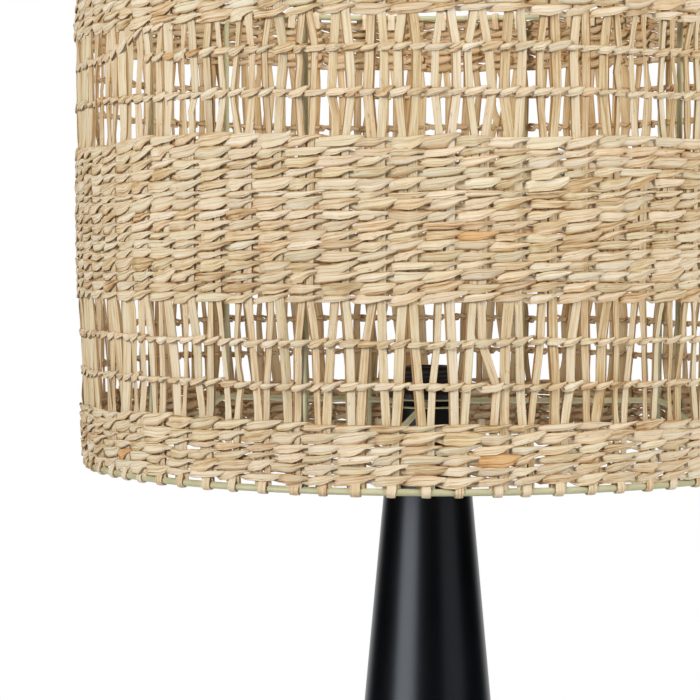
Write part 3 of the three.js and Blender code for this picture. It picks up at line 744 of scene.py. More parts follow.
CROSSING_PLAY = 0.13  # pairs
SLANT_PLAY = 1.6  # millimetres from pair to pair
TIP_PLAY = 0.2
RISE_PLAY = 0.2
REACH_PLAY = 0.18
TILT_PLAY = 0.26  # radians, as is TURN
TURN = 0.5
TURN_PLAY = 0.6
SPLICE_EVERY = 11  # pairs
TONE_MIDDLE = 0.52
TONE_PLAY = (0.24, 0.22, 0.035)  # from splice to splice, from float to float, along a float
LOOK_SEEDS = (7005, 6, 5005)  # for the same three
HUE_PLAY = (0.5, 0.4)
BROWNED = (0.995, 0.99)  # share of the floats that aren't, and the hue of those that are
CROSSING_SHADE = 0.3  # painted shade: the strands' tone is lower where they pass behind one another
SHADE_DEPTH = 0.3
BROWNED_START = (1, 2, 4, 5, 12), (0, 0.985, 0.973, 0.93, 0)  # pairs; hue of an open row's strand
# Third numbers: the pith side showing, and painted shade, full at the rims and half in the middle
# crease and on the inner face
CANE_SECTIONS = section_loops("cane_section", (
    [(-1, -0.2, 1), (-0.92, 0.6, 0.3), (-0.1, 0.82, 0), (0.02, 0.5, 0.5), (0.14, 0.82, 0),
     (0.92, 0.62, 0.3), (1, -0.2, 1), (0.5, -0.9, 0.5), (-0.5, -0.9, 0.5)],
    [(-1, -0.3, 1), (-0.94, 0.5, 0.3), (-0.55, 0.72, 0), (-0.47, 0.4, 0.6), (-0.38, 0.78, 0),
     (0.6, 0.85, 0), (1, 0.2, 0.9), (0.6, -0.8, 0.5), (-0.4, -0.9, 0.5)],
    [(-1, 0.0, 0.9), (-0.4, 0.95, 0), (0.3, 0.7, 0), (0.4, 0.3, 0.5), (0.5, 0.75, 0),
     (0.94, 0.6, 0.3), (1, -0.3, 1), (0.4, -0.8, 0.5), (-0.5, -0.7, 0.5)]))
BAND_CANE = {"width": 6.35, "reach": 1.8, "play": 0.2, "lean": 1.0, "slid": -0.15}
ROW_CANE = {"width": 4.4, "reach": 1.5, "play": 0.24, "lean": 2.0, "parting": 0.55,
            "narrowest": 0.52}
CANE_DEPTH = 1.45
DEPTH_LOSS = 0.4  # of a strand with no width
PAIR_PLAY = 0.22  # degrees
PAIR_SEED = 300


def strand_looks(row, strand, pair):
    """Tone, hue and seed along a strand: much the same until it is spliced, behind a pair."""
    number = 2 * row + strand
    length = (pair + (5 * row + 7 * strand) % SPLICE_EVERY) // SPLICE_EVERY
    splice, single, station = (chance(seed + number) for seed in LOOK_SEEDS)
    shared = splice.uniform(0, 1, (PAIRS, 3))[length].T
    own = single.uniform(0, 1, (3, PAIRS * 2 + 2))[:, pair]
    tone = (TONE_MIDDLE + TONE_PLAY[0] * (shared[0] - 0.5) + TONE_PLAY[1] * (own[0] - 0.5)
            + station.normal(0, TONE_PLAY[2], len(pair)))
    hue = np.where(own[1] > BROWNED[0], BROWNED[1],
                   HUE_PLAY[0] * shared[1] + HUE_PLAY[1] * own[1])
    return np.stack([tone, hue, shared[2]], axis=-1)


def row_openness(row, azimuths, random):
    """How open each crossing is, from 0 where it is tight to 1."""
    count = len(azimuths)
    habit = random.choice((-1, 1)) * random.uniform(*HABIT)
    favour = 1 + FAVOUR * wander(azimuths, row + FAVOUR_SEED)
    even = np.where(np.arange(count) % 2, 1, -1)
    return (random.uniform(*OPENNESS, count) + habit * even * favour).clip(0, 1)


def strand_stations(strand, openness):
    """A strand's stations from where it comes out to the same place: their numbers, their
    pairs, and whether each is on a tip."""
    count = len(openness)
    outside = np.arange(strand, count, 2)
    opened = np.where((np.arange(len(TIGHT)) < TIP_FROM)[:, None],
                      openness[outside - 1][:, None, None], openness[outside][:, None, None])
    floats = TIGHT + (OPEN - TIGHT) * opened
    hidden = np.broadcast_to(INSIDE, (len(outside), *INSIDE.shape))
    stations = np.concatenate([floats, hidden], axis=1)
    on_tip = np.broadcast_to(np.arange(stations.shape[1]) >= TIP_FROM, stations.shape[:2])
    pair = outside[:, None] + np.repeat((0, 1), (len(TIGHT), len(INSIDE)))
    return (np.concatenate([stations.reshape(-1, stations.shape[2]), stations[0, :1]]).T,
            np.append(pair.ravel(), outside[0] + count), np.append(on_tip.ravel(), False))


def twined_row(row, azimuths, z, size, width, reach, play, lean, parting=1.0, narrowest=0.3,
               slid=0.0, closed=True):
    """Paths of a row's two strands round the shade. reach is how far a float's middle stands
    from the strips' middle, and slid how far the floats are pulled along, in pairs."""
    count = len(azimuths)
    if closed:
        before, after = azimuths[-2:] - 360, azimuths[:2] + 360
    else:
        gap = azimuths[1] - azimuths[0]
        before, after = azimuths[0] - (2 * gap, gap), azimuths[-1] + (gap, 2 * gap)
    turns = np.concatenate([before, azimuths, after])
    ends = np.arange(-2, count + 2)
    levels = np.take(z, ends, mode="wrap" if closed else "clip")
    random = chance(row + ROW_SEED)
    openness = row_openness(row, azimuths, random)
    crossings = random.uniform(-1, 1, count)
    strands = []
    for strand in (0, 1):
        (place, out, share, rise, turn), pair, on_tip = strand_stations(strand, openness)
        pair_now = pair % count
        wider, tip_wider, apart, slant, farther, tilt, _, turned = (
            random.uniform(-1, 1, (8, count))[:, pair_now])
        slope = (lean + SLANT_PLAY * slant) * place
        crossing = crossings[(pair - (place < 0)) % count]
        moved = np.where(np.abs(place) > CROSSING_FROM, crossing, 0)
        place = pair + place + slid + CROSSING_PLAY * moved
        azimuth = np.interp(place, ends, turns)
        share = share.clip(narrowest) * size[pair_now] * (1 + play * wider)
        share = share * np.where(on_tip, 1 + TIP_PLAY * tip_wider, 1)
        lift = (parting * width / 2 * (1 - CROSSING_WIDTH) * size[pair_now]
                * (1 + RISE_PLAY * apart))
        height = np.interp(place, ends, levels) + lift * rise + slope
        radius = weave_radius(azimuth, height) + reach * out * (1 + REACH_PLAY * farther)
        centre = around(azimuth, radius, height)[None]
        twist = TILT_PLAY * tilt + TURN * turn * np.sign(out) * (1 + TURN_PLAY * turned)
        across, outward = frame_of(centre, twist[None])
        look = strand_looks(row, strand, pair_now)
        # painted shade where the strand passes behind its fellow
        look[:, 0] -= CROSSING_SHADE * swell(out, 0, SHADE_DEPTH)
        if not closed and strand == 0:
            look[:, 1] = np.maximum(look[:, 1], np.interp(pair_now, *BROWNED_START))
        strands.append({
            "centre": centre, "upward": across, "outward": outward, "width": share[None],
            "depth": (1 - DEPTH_LOSS * (1 - share))[None], "length": run_lengths(centre),
            "look": look[None]})
    return gather(strands)


def gather(parts):
    return {key: np.concatenate([part[key] for part in parts]) for key in parts[0]}


def pair_shifts(pair_start):
    """How far each pair of strips stands off its even place."""
    return chance(int(pair_start * 10) + PAIR_SEED).normal(0, PAIR_PLAY, PAIRS)


def pair_azimuths(pair_start):
    return pair_start + np.arange(PAIRS) * PAIR_STEP + pair_shifts(pair_start)


LIFTED_AT = 233  # azimuth where the middle band's top rows stand highest
LIFT_HALF_WIDTH = 16
STEP_PLAY = 0.55
DRIFT = 0.95
COMMON_DRIFT = 0.5
HEIGHT_PLAY = 0.4
PLACE_PLAY = 0.27
ROW_SIZES = (0.7, 1.3)  # least and greatest, beside an even row


def row_limits(band, rows, azimuth, seed, lifts):
    """Heights between a band's rows. They drift, so that a row is tall here and low there."""
    drift = np.stack([wander(azimuth, seed + 10 + i) for i in range(rows + 1)])
    even = np.linspace(*band, rows + 1)[:, None]
    step = chance(seed).normal(0, STEP_PLAY, (rows + 1, 1))
    step[[0, -1]] = 0
    limits = even + step + DRIFT * drift + COMMON_DRIFT * wander(azimuth, seed)
    limits[-2:] += np.array(lifts)[:, None] * swell(azimuth % 360, LIFTED_AT, LIFT_HALF_WIDTH)
    return limits


def band_rows(band, rows, pair_start, seed, lifts=(0, 0)):
    azimuth = pair_azimuths(pair_start)
    limits = row_limits(band, rows, azimuth, seed, lifts)
    pitch = (band[1] - band[0]) / rows
    made = []
    for row in range(rows):
        random = chance(seed + 40 + row)
        z = (limits[row] + limits[row + 1]) / 2 + random.normal(0, HEIGHT_PLAY, PAIRS)
        size = ((limits[row + 1] - limits[row]) / pitch).clip(*ROW_SIZES)
        places = azimuth + random.normal(0, PLACE_PLAY, PAIRS)
        made.append(twined_row(seed + row, places, z, size, **BAND_CANE))
    return made


def weave(name, rows, width, *node):
    """Twined rows as one piece; the strands take turns with the sections."""
    paths = gather(rows)
    kinds = np.arange(len(paths["centre"])) % len(CANE_SECTIONS)
    piece = sweep(name, paths, CANE_SECTIONS, kinds, width, CANE_DEPTH, STRAND_CANE, sharp=32)
    finish_piece(piece, "shade", "rattan", *node)


def weave_bands():
    half = MIDDLE_ROWS // 2
    middle = band_rows(MIDDLE_BAND, MIDDLE_ROWS, MIDDLE_PAIR_START, 200, lifts=(3.6, 3.8))
    lower = band_rows(LOWER_BAND, EDGE_ROWS, LOWER_PAIR_START, 100)
    upper = band_rows(UPPER_BAND, EDGE_ROWS, MIDDLE_PAIR_START, 300)
    for name, rows, *node in (
            ("lower_band_twining", lower, "lower_woven_band"),
            ("middle_band_twining_lower", middle[:half], "middle_woven_band"),
            ("middle_band_twining_upper", middle[half:]),
            ("upper_band_twining", upper, "upper_woven_band")):
        weave(name, rows, BAND_CANE["width"], *node)


SPLIT_AT = 223  # azimuth where the topmost single row starts and, a turn later, has climbed
CLIMB_LENGTH = 17  # degrees
SINGLE_DRIFT = 0.9
SINGLE_PLAY = 0.25


def weave_single_rows():
    for row, name in enumerate(SINGLE_ROWS):
        middle = middle_height(name)
        azimuth = np.sort((strip_azimuths(middle).ravel() - SPLIT_AT) % 360) + SPLIT_AT
        split = name == "upper_twined_row_2"
        if split:
            azimuth = np.append(azimuth, azimuth[:2] + 360)
        z = (middle + SINGLE_DRIFT * wander(azimuth, 510 + row)
             + chance(500 + row).normal(0, SINGLE_PLAY, len(azimuth)))
        if split:
            climbed = ((azimuth - azimuth[-1]) / CLIMB_LENGTH + 1).clip(0, 1)
            z += (UPPER_BAND[0] - 0.5 - middle) * climbed ** 2 * (3 - 2 * climbed)
        paths = twined_row(960 + row, azimuth, z, np.ones(len(azimuth)), closed=not split,
                           **ROW_CANE)
        weave(f"{name}_twining", [paths], ROW_CANE["width"], name)


# Upright strips, from the lower hoop to the upper one

STRIP_PULL = 0.667  # from a pair's middle to each of its strips inside a band
STRIP_END = 1.0  # from the strips' ends to the hoops' planes
STRIP_WIDTH = 5.8
STRIP_DEPTH = 0.9
WIDE_AT = 208  # azimuth of the widest strips
WIDE_HALF_WIDTH = 13
WIDER = 0.75
OUT_IN_BANDS = 0.45
LOOSE = (0.19, 1.2, 0.88)  # degrees, how much more some are, and the share that isn't
LOOSE_IN_BANDS = 0.5
KINK = (0.55, 0.82)  # degrees, and the share of strips without one
KINK_HALF_HEIGHT = 7
KINK_PLACES = (-14, 34)
OPENWORK_MIDDLE = 26  # above the band below it
STRIP_WIDTHS = (0.72, 1.3)
STRIP_WIDTH_PLAY = 0.15
STRIP_DEPTHS = (0.8, 1.2)
STRIP_WAVES = ((0.07, 38), (0.32, 30), (0.4, 17))  # of width, twist and radius; size and length
TWIST_PLAY = 0.14
KIND_SHARES = (0.4, 0.3, 0.3)
STRIP_TONE = (0.30, 0.26)  # the least, and how much more some are
# Third numbers: the browner pith side showing at the rims, the middle crease, the folded lip and
# the inner face, with painted shade in those same places
STRIP_SECTIONS = section_loops("strip_section", (
    [(-1, -0.3, 0.8), (-0.88, 0.4, 0.1), (-0.1, 0.6, 0), (0.0, 0.3, 0.5), (0.1, 0.6, 0),
     (0.9, 0.5, 0.1), (1, -0.3, 0.8), (0.5, -0.8, 0.5), (-0.5, -0.8, 0.5)],
    [(-1, -0.5, 0.7), (-0.85, 0.5, 0), (0.1, 0.7, 0), (0.62, 0.5, 0), (0.66, 0.1, 1.0),
     (1, -0.9, 0.7), (0.96, -1.7, 0.6), (0.5, -1.1, 0.2), (-0.5, -0.9, 0.5)],
    [(-0.97, -1.8, 0.6), (-1, -1.1, 0.7), (-0.70, 0.1, 1.0), (-0.66, 0.5, 0), (0, 0.8, 0),
     (0.85, 0.5, 0), (1, -0.5, 0.8), (0.5, -0.9, 0.5), (-0.6, -1.3, 0.2)]))


def strip_route():
    """Heights, and the strips' distances in degrees from the middle band's pairs."""
    crossed = PAIR_STEP / 2 - STRIP_PULL
    rows = [middle_height(name) for name in SINGLE_ROWS]
    return np.array([
        (HOOP_PLANE + STRIP_END, crossed), (LOWER_BAND[1] - 3, crossed), (rows[1], 1.4),
        (rows[0], 1.2), (MIDDLE_BAND[0] + 3, STRIP_PULL), (MIDDLE_BAND[1] - 3, STRIP_PULL),
        (rows[2], 1.18), (rows[3], 1.2), (UPPER_BAND[0] + 3, STRIP_PULL),
        (UPPER_HOOP_PLANE - STRIP_END, STRIP_PULL)])


def strip_heights():
    """Stations closer together in the openwork than behind the bands."""
    return np.sort(np.concatenate([np.linspace(*span) for span in (
        (LOWER_BAND[1] - 6, MIDDLE_BAND[0] + 5, 16), (MIDDLE_BAND[1] - 5, UPPER_BAND[0] + 6, 16),
        (HOOP_PLANE + STRIP_END, LOWER_BAND[1] - 12, 4),
        (MIDDLE_BAND[0] + 18, MIDDLE_BAND[1] - 18, 4),
        (UPPER_BAND[0] + 14, UPPER_HOOP_PLANE - STRIP_END, 4))]))


def strip_azimuths(z):
    """Azimuth of every strip at a height, shaped (pairs, 2)."""
    route, offsets = strip_route().T
    offset = np.interp(z, route, offsets)
    share = np.interp(z, (LOWER_BAND[1], MIDDLE_BAND[0]), (0, 1))
    lower_shift = pair_shifts(LOWER_PAIR_START)
    middle_shift = pair_shifts(MIDDLE_PAIR_START)
    middle = MIDDLE_PAIR_START + np.arange(PAIRS) * PAIR_STEP
    random = chance(17)
    own = random.normal(0, LOOSE[0], (len(route), PAIRS, 2))
    own *= 1 + LOOSE[1] * (random.uniform(0, 1, (1, PAIRS, 2)) > LOOSE[2])
    own[[0, 1, 4, 5, 8, 9]] *= LOOSE_IN_BANDS
    kinks = random.normal(0, KINK[0], (2, PAIRS)) * (
        random.uniform(0, 1, (2, PAIRS)) > KINK[1])
    kinked_at = random.choice([band[1] + OPENWORK_MIDDLE for band in (LOWER_BAND, MIDDLE_BAND)],
                              (2, PAIRS)) + random.uniform(*KINK_PLACES, (2, PAIRS))
    azimuths = np.empty((PAIRS, 2))
    for j, side in enumerate((-1, 1)):
        shift = (1 - share) * np.roll(lower_shift, -j) + share * middle_shift
        loose = np.array([np.interp(z, route, own[:, k, j]) for k in range(PAIRS)])
        bent = kinks[j] * swell(z, kinked_at[j], KINK_HALF_HEIGHT)
        azimuths[:, j] = middle + side * offset + shift + loose + bent
    return azimuths


def strip_looks(random, count, least_hue, hue_play):
    """Tone, hue and seed of each strip."""
    return ((STRIP_TONE[0], least_hue, 0) + np.multiply(
        (STRIP_TONE[1], hue_play, 1), random.uniform(0, 1, (3, count)).T))


def strips():
    """All 144 strips as one piece."""
    z = strip_heights()
    azimuth = np.stack([strip_azimuths(height).ravel() for height in z], axis=1)
    count = len(azimuth)
    random = chance(23)
    length = z - z[0]
    width_wave, twist_wave, radius_wave = (
        size * np.sin(length / wave_length + phase) for (size, wave_length), phase
        in zip(STRIP_WAVES, random.uniform(0, FULL_TURN, (3, count, 1))))
    width = random.normal(1, STRIP_WIDTH_PLAY, (count, 1)).clip(*STRIP_WIDTHS)
    width = width * (1 + WIDER * swell(azimuth % 360, WIDE_AT, WIDE_HALF_WIDTH))
    width = width * (1 + width_wave)
    openwork = ((LOWER_BAND[1], MIDDLE_BAND[0]), (MIDDLE_BAND[1], UPPER_BAND[0]))
    edges = [place for low, high in openwork for place in (low - 3, low + 6, high - 6, high + 3)]
    open_share = np.interp(z, edges, (0, 1, 1, 0) * 2)
    twist = twist_wave + random.normal(0, TWIST_PLAY, (count, 1))
    radius = weave_radius(azimuth, z) + radius_wave * open_share
    centre = around(azimuth, radius + OUT_IN_BANDS * (1 - open_share), z)
    across, outward = frame_of(centre, twist * open_share)
    look = strip_looks(random, count, 0.16, 0.38)
    level = np.ones_like(azimuth)
    paths = {"centre": centre, "upward": across, "outward": outward, "width": width,
             "depth": random.uniform(*STRIP_DEPTHS, (count, 1)) * level,
             "length": length * level,
             "look": np.broadcast_to(look[:, None], centre.shape)}
    kinds = random.choice(len(KIND_SHARES), count, p=KIND_SHARES)
    piece = sweep("upright_strips", paths, STRIP_SECTIONS, kinds, STRIP_WIDTH, STRIP_DEPTH,
                  STRIP_CANE, sharp=35)
    finish_piece(piece, "shade", "rattan", "lower_openwork_strips")


# Wraps: a strip of each pair is bent round the hoop and tucked up inside

WRAP_WIDTH = 5.6
WRAP_HALF_DEPTH = 0.42
WRAP_CROWN = 0.22
WRAP_REACH = HOOP_WIRE + 0.75  # from the wire's middle to the wrap's
WRAP_START = ((0.9, 9.0), (1.3, 5.5))  # out from the wire's middle, and up
WRAP_TAIL = ((-2.6, 4.5), (-2.2, 9.5))
WRAP_TURN = (25, -190)  # degrees
WRAP_PLAY = 0.05
WRAP_DRIFT = 0.5  # sideways at each end
WRAP_INSIDE = 0.96  # width of the side on the wire, of the width outside
WRAP_LENGTH_PLAY = 0.14
WRAP_LEAN = 0.04  # radians


def wrap_piece(name, way, seed):
    """One wrap about a hoop's wire, for the lower hoop with way 1 and the upper with -1."""
    random = chance(seed)
    turn = np.radians(np.linspace(*WRAP_TURN, 10))
    bend = WRAP_REACH * np.stack([np.cos(turn), np.sin(turn)], axis=-1)
    path = soften([*WRAP_START, *bend, *WRAP_TAIL], 1.2, steps=2, closed=False)
    along = unit(np.gradient(path * (1, way), axis=0))
    normal = np.stack([-along[:, 1], along[:, 0]], axis=-1) * way
    widths = WRAP_WIDTH * (1 + random.uniform(-WRAP_PLAY, WRAP_PLAY, len(path)))
    side = np.array([-1, -0.5, 0, 0.5, 1])
    crown = WRAP_CROWN * (1 - side ** 2)
    loop_side = np.concatenate([side, side[::-1] * WRAP_INSIDE])
    loop_out = np.concatenate([crown + WRAP_HALF_DEPTH, crown[::-1] - WRAP_HALF_DEPTH])
    drift = random.uniform(-WRAP_DRIFT, WRAP_DRIFT) * np.linspace(-1, 1, len(path))
    across = loop_side * widths[:, None] / 2
    x, z = np.moveaxis((path * (1, way))[:, None] + loop_out[:, None] * normal[:, None], -1, 0)
    length = run_lengths(path[None])[0]
    run = np.stack(np.broadcast_arrays(length[:, None], across), axis=-1)
    rings = np.stack([x, across + drift[:, None], z], axis=-1)
    return make_mesh(name, *loft(rings), run=run, sharp=35)


def wrap_hoops():
    for name, plane, way, start in (
            ("lower_hoop_wraps", HOOP_PLANE, 1, LOWER_PAIR_START),
            ("upper_hoop_wraps", UPPER_HOOP_PLANE, -1, MIDDLE_PAIR_START)):
        pieces = [wrap_piece(f"wrap_{i}", way, 60 + i) for i in range(3)]
        random = chance(way + 80)
        look = strip_looks(random, PAIRS, 0.40, 0.36)
        set_out(name, pair_azimuths(start), HOOP_RADIUS, plane, pieces, "rattan", STRIP_CANE,
                seed=7 + way, length_play=WRAP_LENGTH_PLAY,
                lean=random.normal(0, WRAP_LEAN, PAIRS), look=look)


# Wire frame

UPRIGHT_END = 0.4  # from the wires' ends to the hoops' planes
UPRIGHT_BOW = 0.25
ARM_INNER_RADIUS = 22.2
ARM_LEVEL_RADIUS = 34
ARM_CRANK = (193, 3.9)  # radius, and its drop below the washers
ARM_WELD = 0.6  # of the hoop's wire, from its middle to the arm's end
WASHER_BORE = 20.8
WASHER_RADIUS = 28.5
BEAD_OUTLINE = np.array([
    (0.02, -1.5), (0.9, -1.3), (1.5, -0.6), (1.7, 0.1), (1.4, 0.8), (0.8, 1.3), (0.02, 1.5)])
BEAD_STRETCH = 1.3
BEAD_PLAY = 0.12
BEAD_INSET = 1.9  # from the hoops' radius
BEAD_RISE = (1.6, 1.3)  # from a hoop's plane, at an upright and at an arm
BEAD_SIZE_PLAY = 0.2
BEAD_TILT_PLAY = 0.03


def wire_piece(name, path, side, radius, node, closed=False):
    piece = make_mesh(name, *wire(path, side, radius, closed))
    finish_piece(piece, "shade", "sage_enamel", node)


def standing_wire(name, azimuth, radii, z, node):
    """A wire in the upright plane that passes through the axis at an azimuth."""
    path = around(np.full(len(radii), azimuth), radii, z)
    wire_piece(name, path, around(azimuth + 90, 1, 0), WIRE, node)


def hoops():
    for name, plane in (("lower_hoop", HOOP_PLANE), ("upper_hoop", UPPER_HOOP_PLANE)):
        path = around(np.arange(0, 360, 2), HOOP_RADIUS, plane)
        wire_piece(f"{name}_wire", path, (0, 0, 1), HOOP_WIRE, name, closed=True)


def upright_wires():
    reach = np.linspace(HOOP_PLANE + UPRIGHT_END, UPPER_HOOP_PLANE - UPRIGHT_END, 25)
    ease = np.sin(np.linspace(0, math.pi, len(reach)))
    for i in range(UPRIGHTS):
        bow = UPRIGHT_BOW * wander(reach / 2, 600 + i, waves=(1, 3))
        standing_wire(f"upright_wire_{i + 1:02d}", UPRIGHT_START + i * UPRIGHT_STEP,
                      UPRIGHT_RADIUS + bow * ease, reach, f"frame_upright_{i + 1:02d}")


def arms():
    """Wires that leave the washers level, fall a little to a crank and dive to the hoop."""
    level = heights("spider_arm_1")[1] - WIRE
    crank = np.array([ARM_CRANK[0], level - ARM_CRANK[1]])
    hoop = np.array([HOOP_RADIUS, HOOP_PLANE])
    end = hoop - unit(hoop - crank) * HOOP_WIRE * ARM_WELD
    route = soften([(ARM_INNER_RADIUS, level), (ARM_LEVEL_RADIUS, level), crank, end], 9,
                   steps=8, closed=False)
    for i in range(ARMS):
        standing_wire(f"arm_wire_{i + 1}", ARM_START + i * ARM_STEP, *route.T,
                      f"spider_arm_{i + 1}")


def weld_bead(name, seed, segments=12):
    """A small lump of weld, a little longer than wide."""
    angle = np.arange(segments) * FULL_TURN / segments
    bulge = 1 + chance(seed).uniform(-BEAD_PLAY, BEAD_PLAY, (len(BEAD_OUTLINE), segments))
    radius = BEAD_OUTLINE[:, :1] * bulge
    rings = np.stack(np.broadcast_arrays(
        radius * np.cos(angle), radius * np.sin(angle) * BEAD_STRETCH, BEAD_OUTLINE[:, 1:]),
        axis=-1)
    return make_mesh(name, *loft(rings), sharp=80)


def weld_beads():
    beads = [weld_bead(f"bead_{i}", 90 + i) for i in range(3)]
    uprights = UPRIGHT_START + np.arange(UPRIGHTS) * UPRIGHT_STEP
    azimuth = np.concatenate([uprights, uprights, ARM_START + np.arange(ARMS) * ARM_STEP])
    z = np.repeat((HOOP_PLANE + BEAD_RISE[0], UPPER_HOOP_PLANE - BEAD_RISE[0],
                   HOOP_PLANE + BEAD_RISE[1]), (UPRIGHTS, UPRIGHTS, ARMS))
    set_out("weld_beads", azimuth, HOOP_RADIUS - BEAD_INSET, z, beads, "sage_enamel",
            FINISHES["sage_enamel"], seed=3, length_play=BEAD_SIZE_PLAY,
            width_play=BEAD_SIZE_PLAY, tilt_play=BEAD_TILT_PLAY)


def turned_piece(name, body, slot, node, profile, segments, shape=None, sharp=40):
    """A piece turned about the lamp's axis, in place of a CAD node."""
    piece = make_mesh(name, *lathe(np.asarray(profile), segments, shape), sharp=sharp)
    finish_piece(piece, body, slot, node)


def fitter_washers():
    for node in ("fitter_washer_lower", "fitter_washer_upper"):
        foot, top = heights(node)
        profile = soften([(WASHER_BORE, foot), (WASHER_RADIUS, foot), (WASHER_RADIUS, top),
                          (WASHER_BORE, top)], 0.35)
        turned_piece(f"{node}_turned", "shade", "sage_enamel", node, profile, 72)


# Clamp ring and lampholder

NOTCHES = 12
NOTCH_DEPTH = 0.9
NOTCH_END = 0.58  # of the way from a notch's middle to the next notch's side
NOTCH_RAMP = 0.16
FLANGE_FROM = 25
FLANGE_RAMP = 2
RING_RADIUS = 28.5
RING_NECK = 23.5
RING_BORE = 20.9
RING_EDGE = 21.5  # where the bore's ends are bevelled
RING_FLANGE = 4
RING_THREAD_DEPTH = 0.45
THREAD_PITCH = 3.0
ON_THREAD = 0.1  # points this near a thread's own radius are cut by it
HOLDER_THREAD_RADIUS = 20
HOLDER_THREAD_DEPTH = 0.95
HOLDER_THREAD_FADE = 2  # above the top of the stand
HOLDER_SKIRT_RADIUS = 23.5
HOLDER_SKIRT = 4.4
HOLDER_BORE = 17.2
HOLDER_MOUTH = 14.6
HOLDER_LIP = 2.3
SLEEVE_RADIUS = 13.9
SLEEVE_WALL = 0.35
SLEEVE_PITCH = 3.6
SLEEVE_THREAD_DEPTH = 0.5


def thread(angle, z, pitch, depth):
    """Depth of a round thread's groove at a place on its cylinder."""
    return depth * (0.5 - 0.5 * np.cos(FULL_TURN * z / pitch - angle))


def clamp_ring():
    foot, top = heights("shade_clamp_ring")
    bore = [(RING_BORE, z) for z in np.linspace(top - 0.8, foot + 0.8, 22)]
    outside = soften([
        (RING_EDGE, foot), (RING_RADIUS, foot), (RING_RADIUS, foot + RING_FLANGE),
        (RING_NECK, foot + RING_FLANGE), (RING_NECK, top), (RING_EDGE, top)], 0.7)
    notch = FULL_TURN / NOTCHES

    def shape(angle, radius, z):
        place = np.abs((angle % notch) / notch - 0.5) * 2
        cut = NOTCH_DEPTH * np.clip((NOTCH_END - place) / NOTCH_RAMP, 0, 1)
        on_flange = np.clip((radius - FLANGE_FROM) / FLANGE_RAMP, 0, 1)
        groove = thread(angle, z, THREAD_PITCH, RING_THREAD_DEPTH)
        return radius - cut * on_flange - np.where(radius < RING_BORE + ON_THREAD, groove, 0)

    turned_piece("clamp_ring_moulded", "clamp_ring", "black_plastic", "shade_clamp_ring",
                 [*outside, *bore], 192, shape)


def holder_shell():
    foot, top = heights("holder_shell")
    threaded = [(HOLDER_THREAD_RADIUS, z) for z in np.arange(STAND_TOP + 0.2, top - 2.2, 0.5)]
    outside = soften([
        (HOLDER_SKIRT_RADIUS, foot), (HOLDER_SKIRT_RADIUS, foot + HOLDER_SKIRT),
        (19.4, foot + HOLDER_SKIRT)], 0.5, closed=False)
    rim = soften([
        (19.6, top - 1.9), (18.2, top), (HOLDER_MOUTH, top), (HOLDER_MOUTH, top - HOLDER_LIP),
        (HOLDER_BORE, top - HOLDER_LIP)], 0.5, closed=False)

    def shape(angle, radius, z):
        on_thread = np.abs(radius - HOLDER_THREAD_RADIUS) < ON_THREAD
        fade = np.clip((z - STAND_TOP) / HOLDER_THREAD_FADE, 0, 1)
        groove = thread(angle, z, THREAD_PITCH, HOLDER_THREAD_DEPTH) * fade
        return radius - np.where(on_thread, groove, 0)

    turned_piece("holder_shell_moulded", "stand", "black_plastic", "holder_shell",
                 [(HOLDER_BORE, foot), *outside, *threaded, *rim], 96, shape, sharp=60)


def screw_sleeve():
    """Brass sleeve rolled into a thread."""
    foot, top = heights("screw_sleeve")
    z = np.arange(foot + 0.2, top - 0.1, 0.45)
    profile = [(SLEEVE_RADIUS, level) for level in z]
    profile += [(SLEEVE_RADIUS - SLEEVE_WALL, level) for level in z[::-1]]

    def shape(angle, radius, z):
        return radius - thread(angle, z, SLEEVE_PITCH, SLEEVE_THREAD_DEPTH)

    turned_piece("screw_sleeve_rolled", "stand", "brass", "screw_sleeve", profile, 72, shape,
                 sharp=60)


# Stand

CONE_FOOT, CONE_TOP = heights("cone_body")
CONE_FOOT_RADIUS = 135
CONE_TOP_RADIUS = 26
CONE_SLOPE = (CONE_FOOT_RADIUS - CONE_TOP_RADIUS) / (CONE_TOP - CONE_FOOT)
CONE_WALL = 1.2
CONE_LIP = 129  # radius of the hole in the cone's foot
CONE_BORE = 20.8
WEIGHT_RADIUS = 134
WEIGHT_STEP = 128.4
WEIGHT_BORE = 5.3
WEIGHT_FLANGE = 4
NUT_POCKET = (17, 10)  # radius and depth
FELT_RADIUS = 126
OUTLET_HEIGHT = 48


def cone_radius(z):
    return CONE_TOP_RADIUS + (CONE_TOP - z) * CONE_SLOPE


def cone():
    inner_foot, inner_top = CONE_FOOT + CONE_WALL, CONE_TOP - CONE_WALL
    profile = soften([
        (CONE_LIP, inner_foot), (CONE_LIP, CONE_FOOT), (CONE_FOOT_RADIUS, CONE_FOOT),
        *((cone_radius(z), z) for z in np.linspace(CONE_FOOT + 40, CONE_TOP - 40, 9)),
        (CONE_TOP_RADIUS, CONE_TOP), (CONE_BORE, CONE_TOP), (CONE_BORE, inner_top),
        *((cone_radius(z) - CONE_WALL, z) for z in (inner_top, inner_foot))], 1.1, steps=4)
    turned_piece("cone_spun", "stand", "black_steel", "cone_body", profile, 128)


def foot_pieces():
    pocket, pocket_depth = NUT_POCKET
    foot, top = heights("cast_weight")
    flange_top = foot + WEIGHT_FLANGE
    weight = soften([
        (pocket, foot), (WEIGHT_RADIUS, foot), (WEIGHT_RADIUS, flange_top),
        (WEIGHT_STEP, flange_top), (WEIGHT_STEP, top), (WEIGHT_BORE, top),
        (WEIGHT_BORE, foot + pocket_depth), (pocket, foot + pocket_depth)], 1.2)
    turned_piece("weight_cast", "stand", "cast_iron", "cast_weight", weight, 128)
    foot, top = heights("felt_pad")
    pad = soften([(pocket, foot), (FELT_RADIUS, foot), (FELT_RADIUS, top), (pocket, top)], 0.6)
    turned_piece("felt_pad_cut", "stand", "felt", "felt_pad", pad, 128)


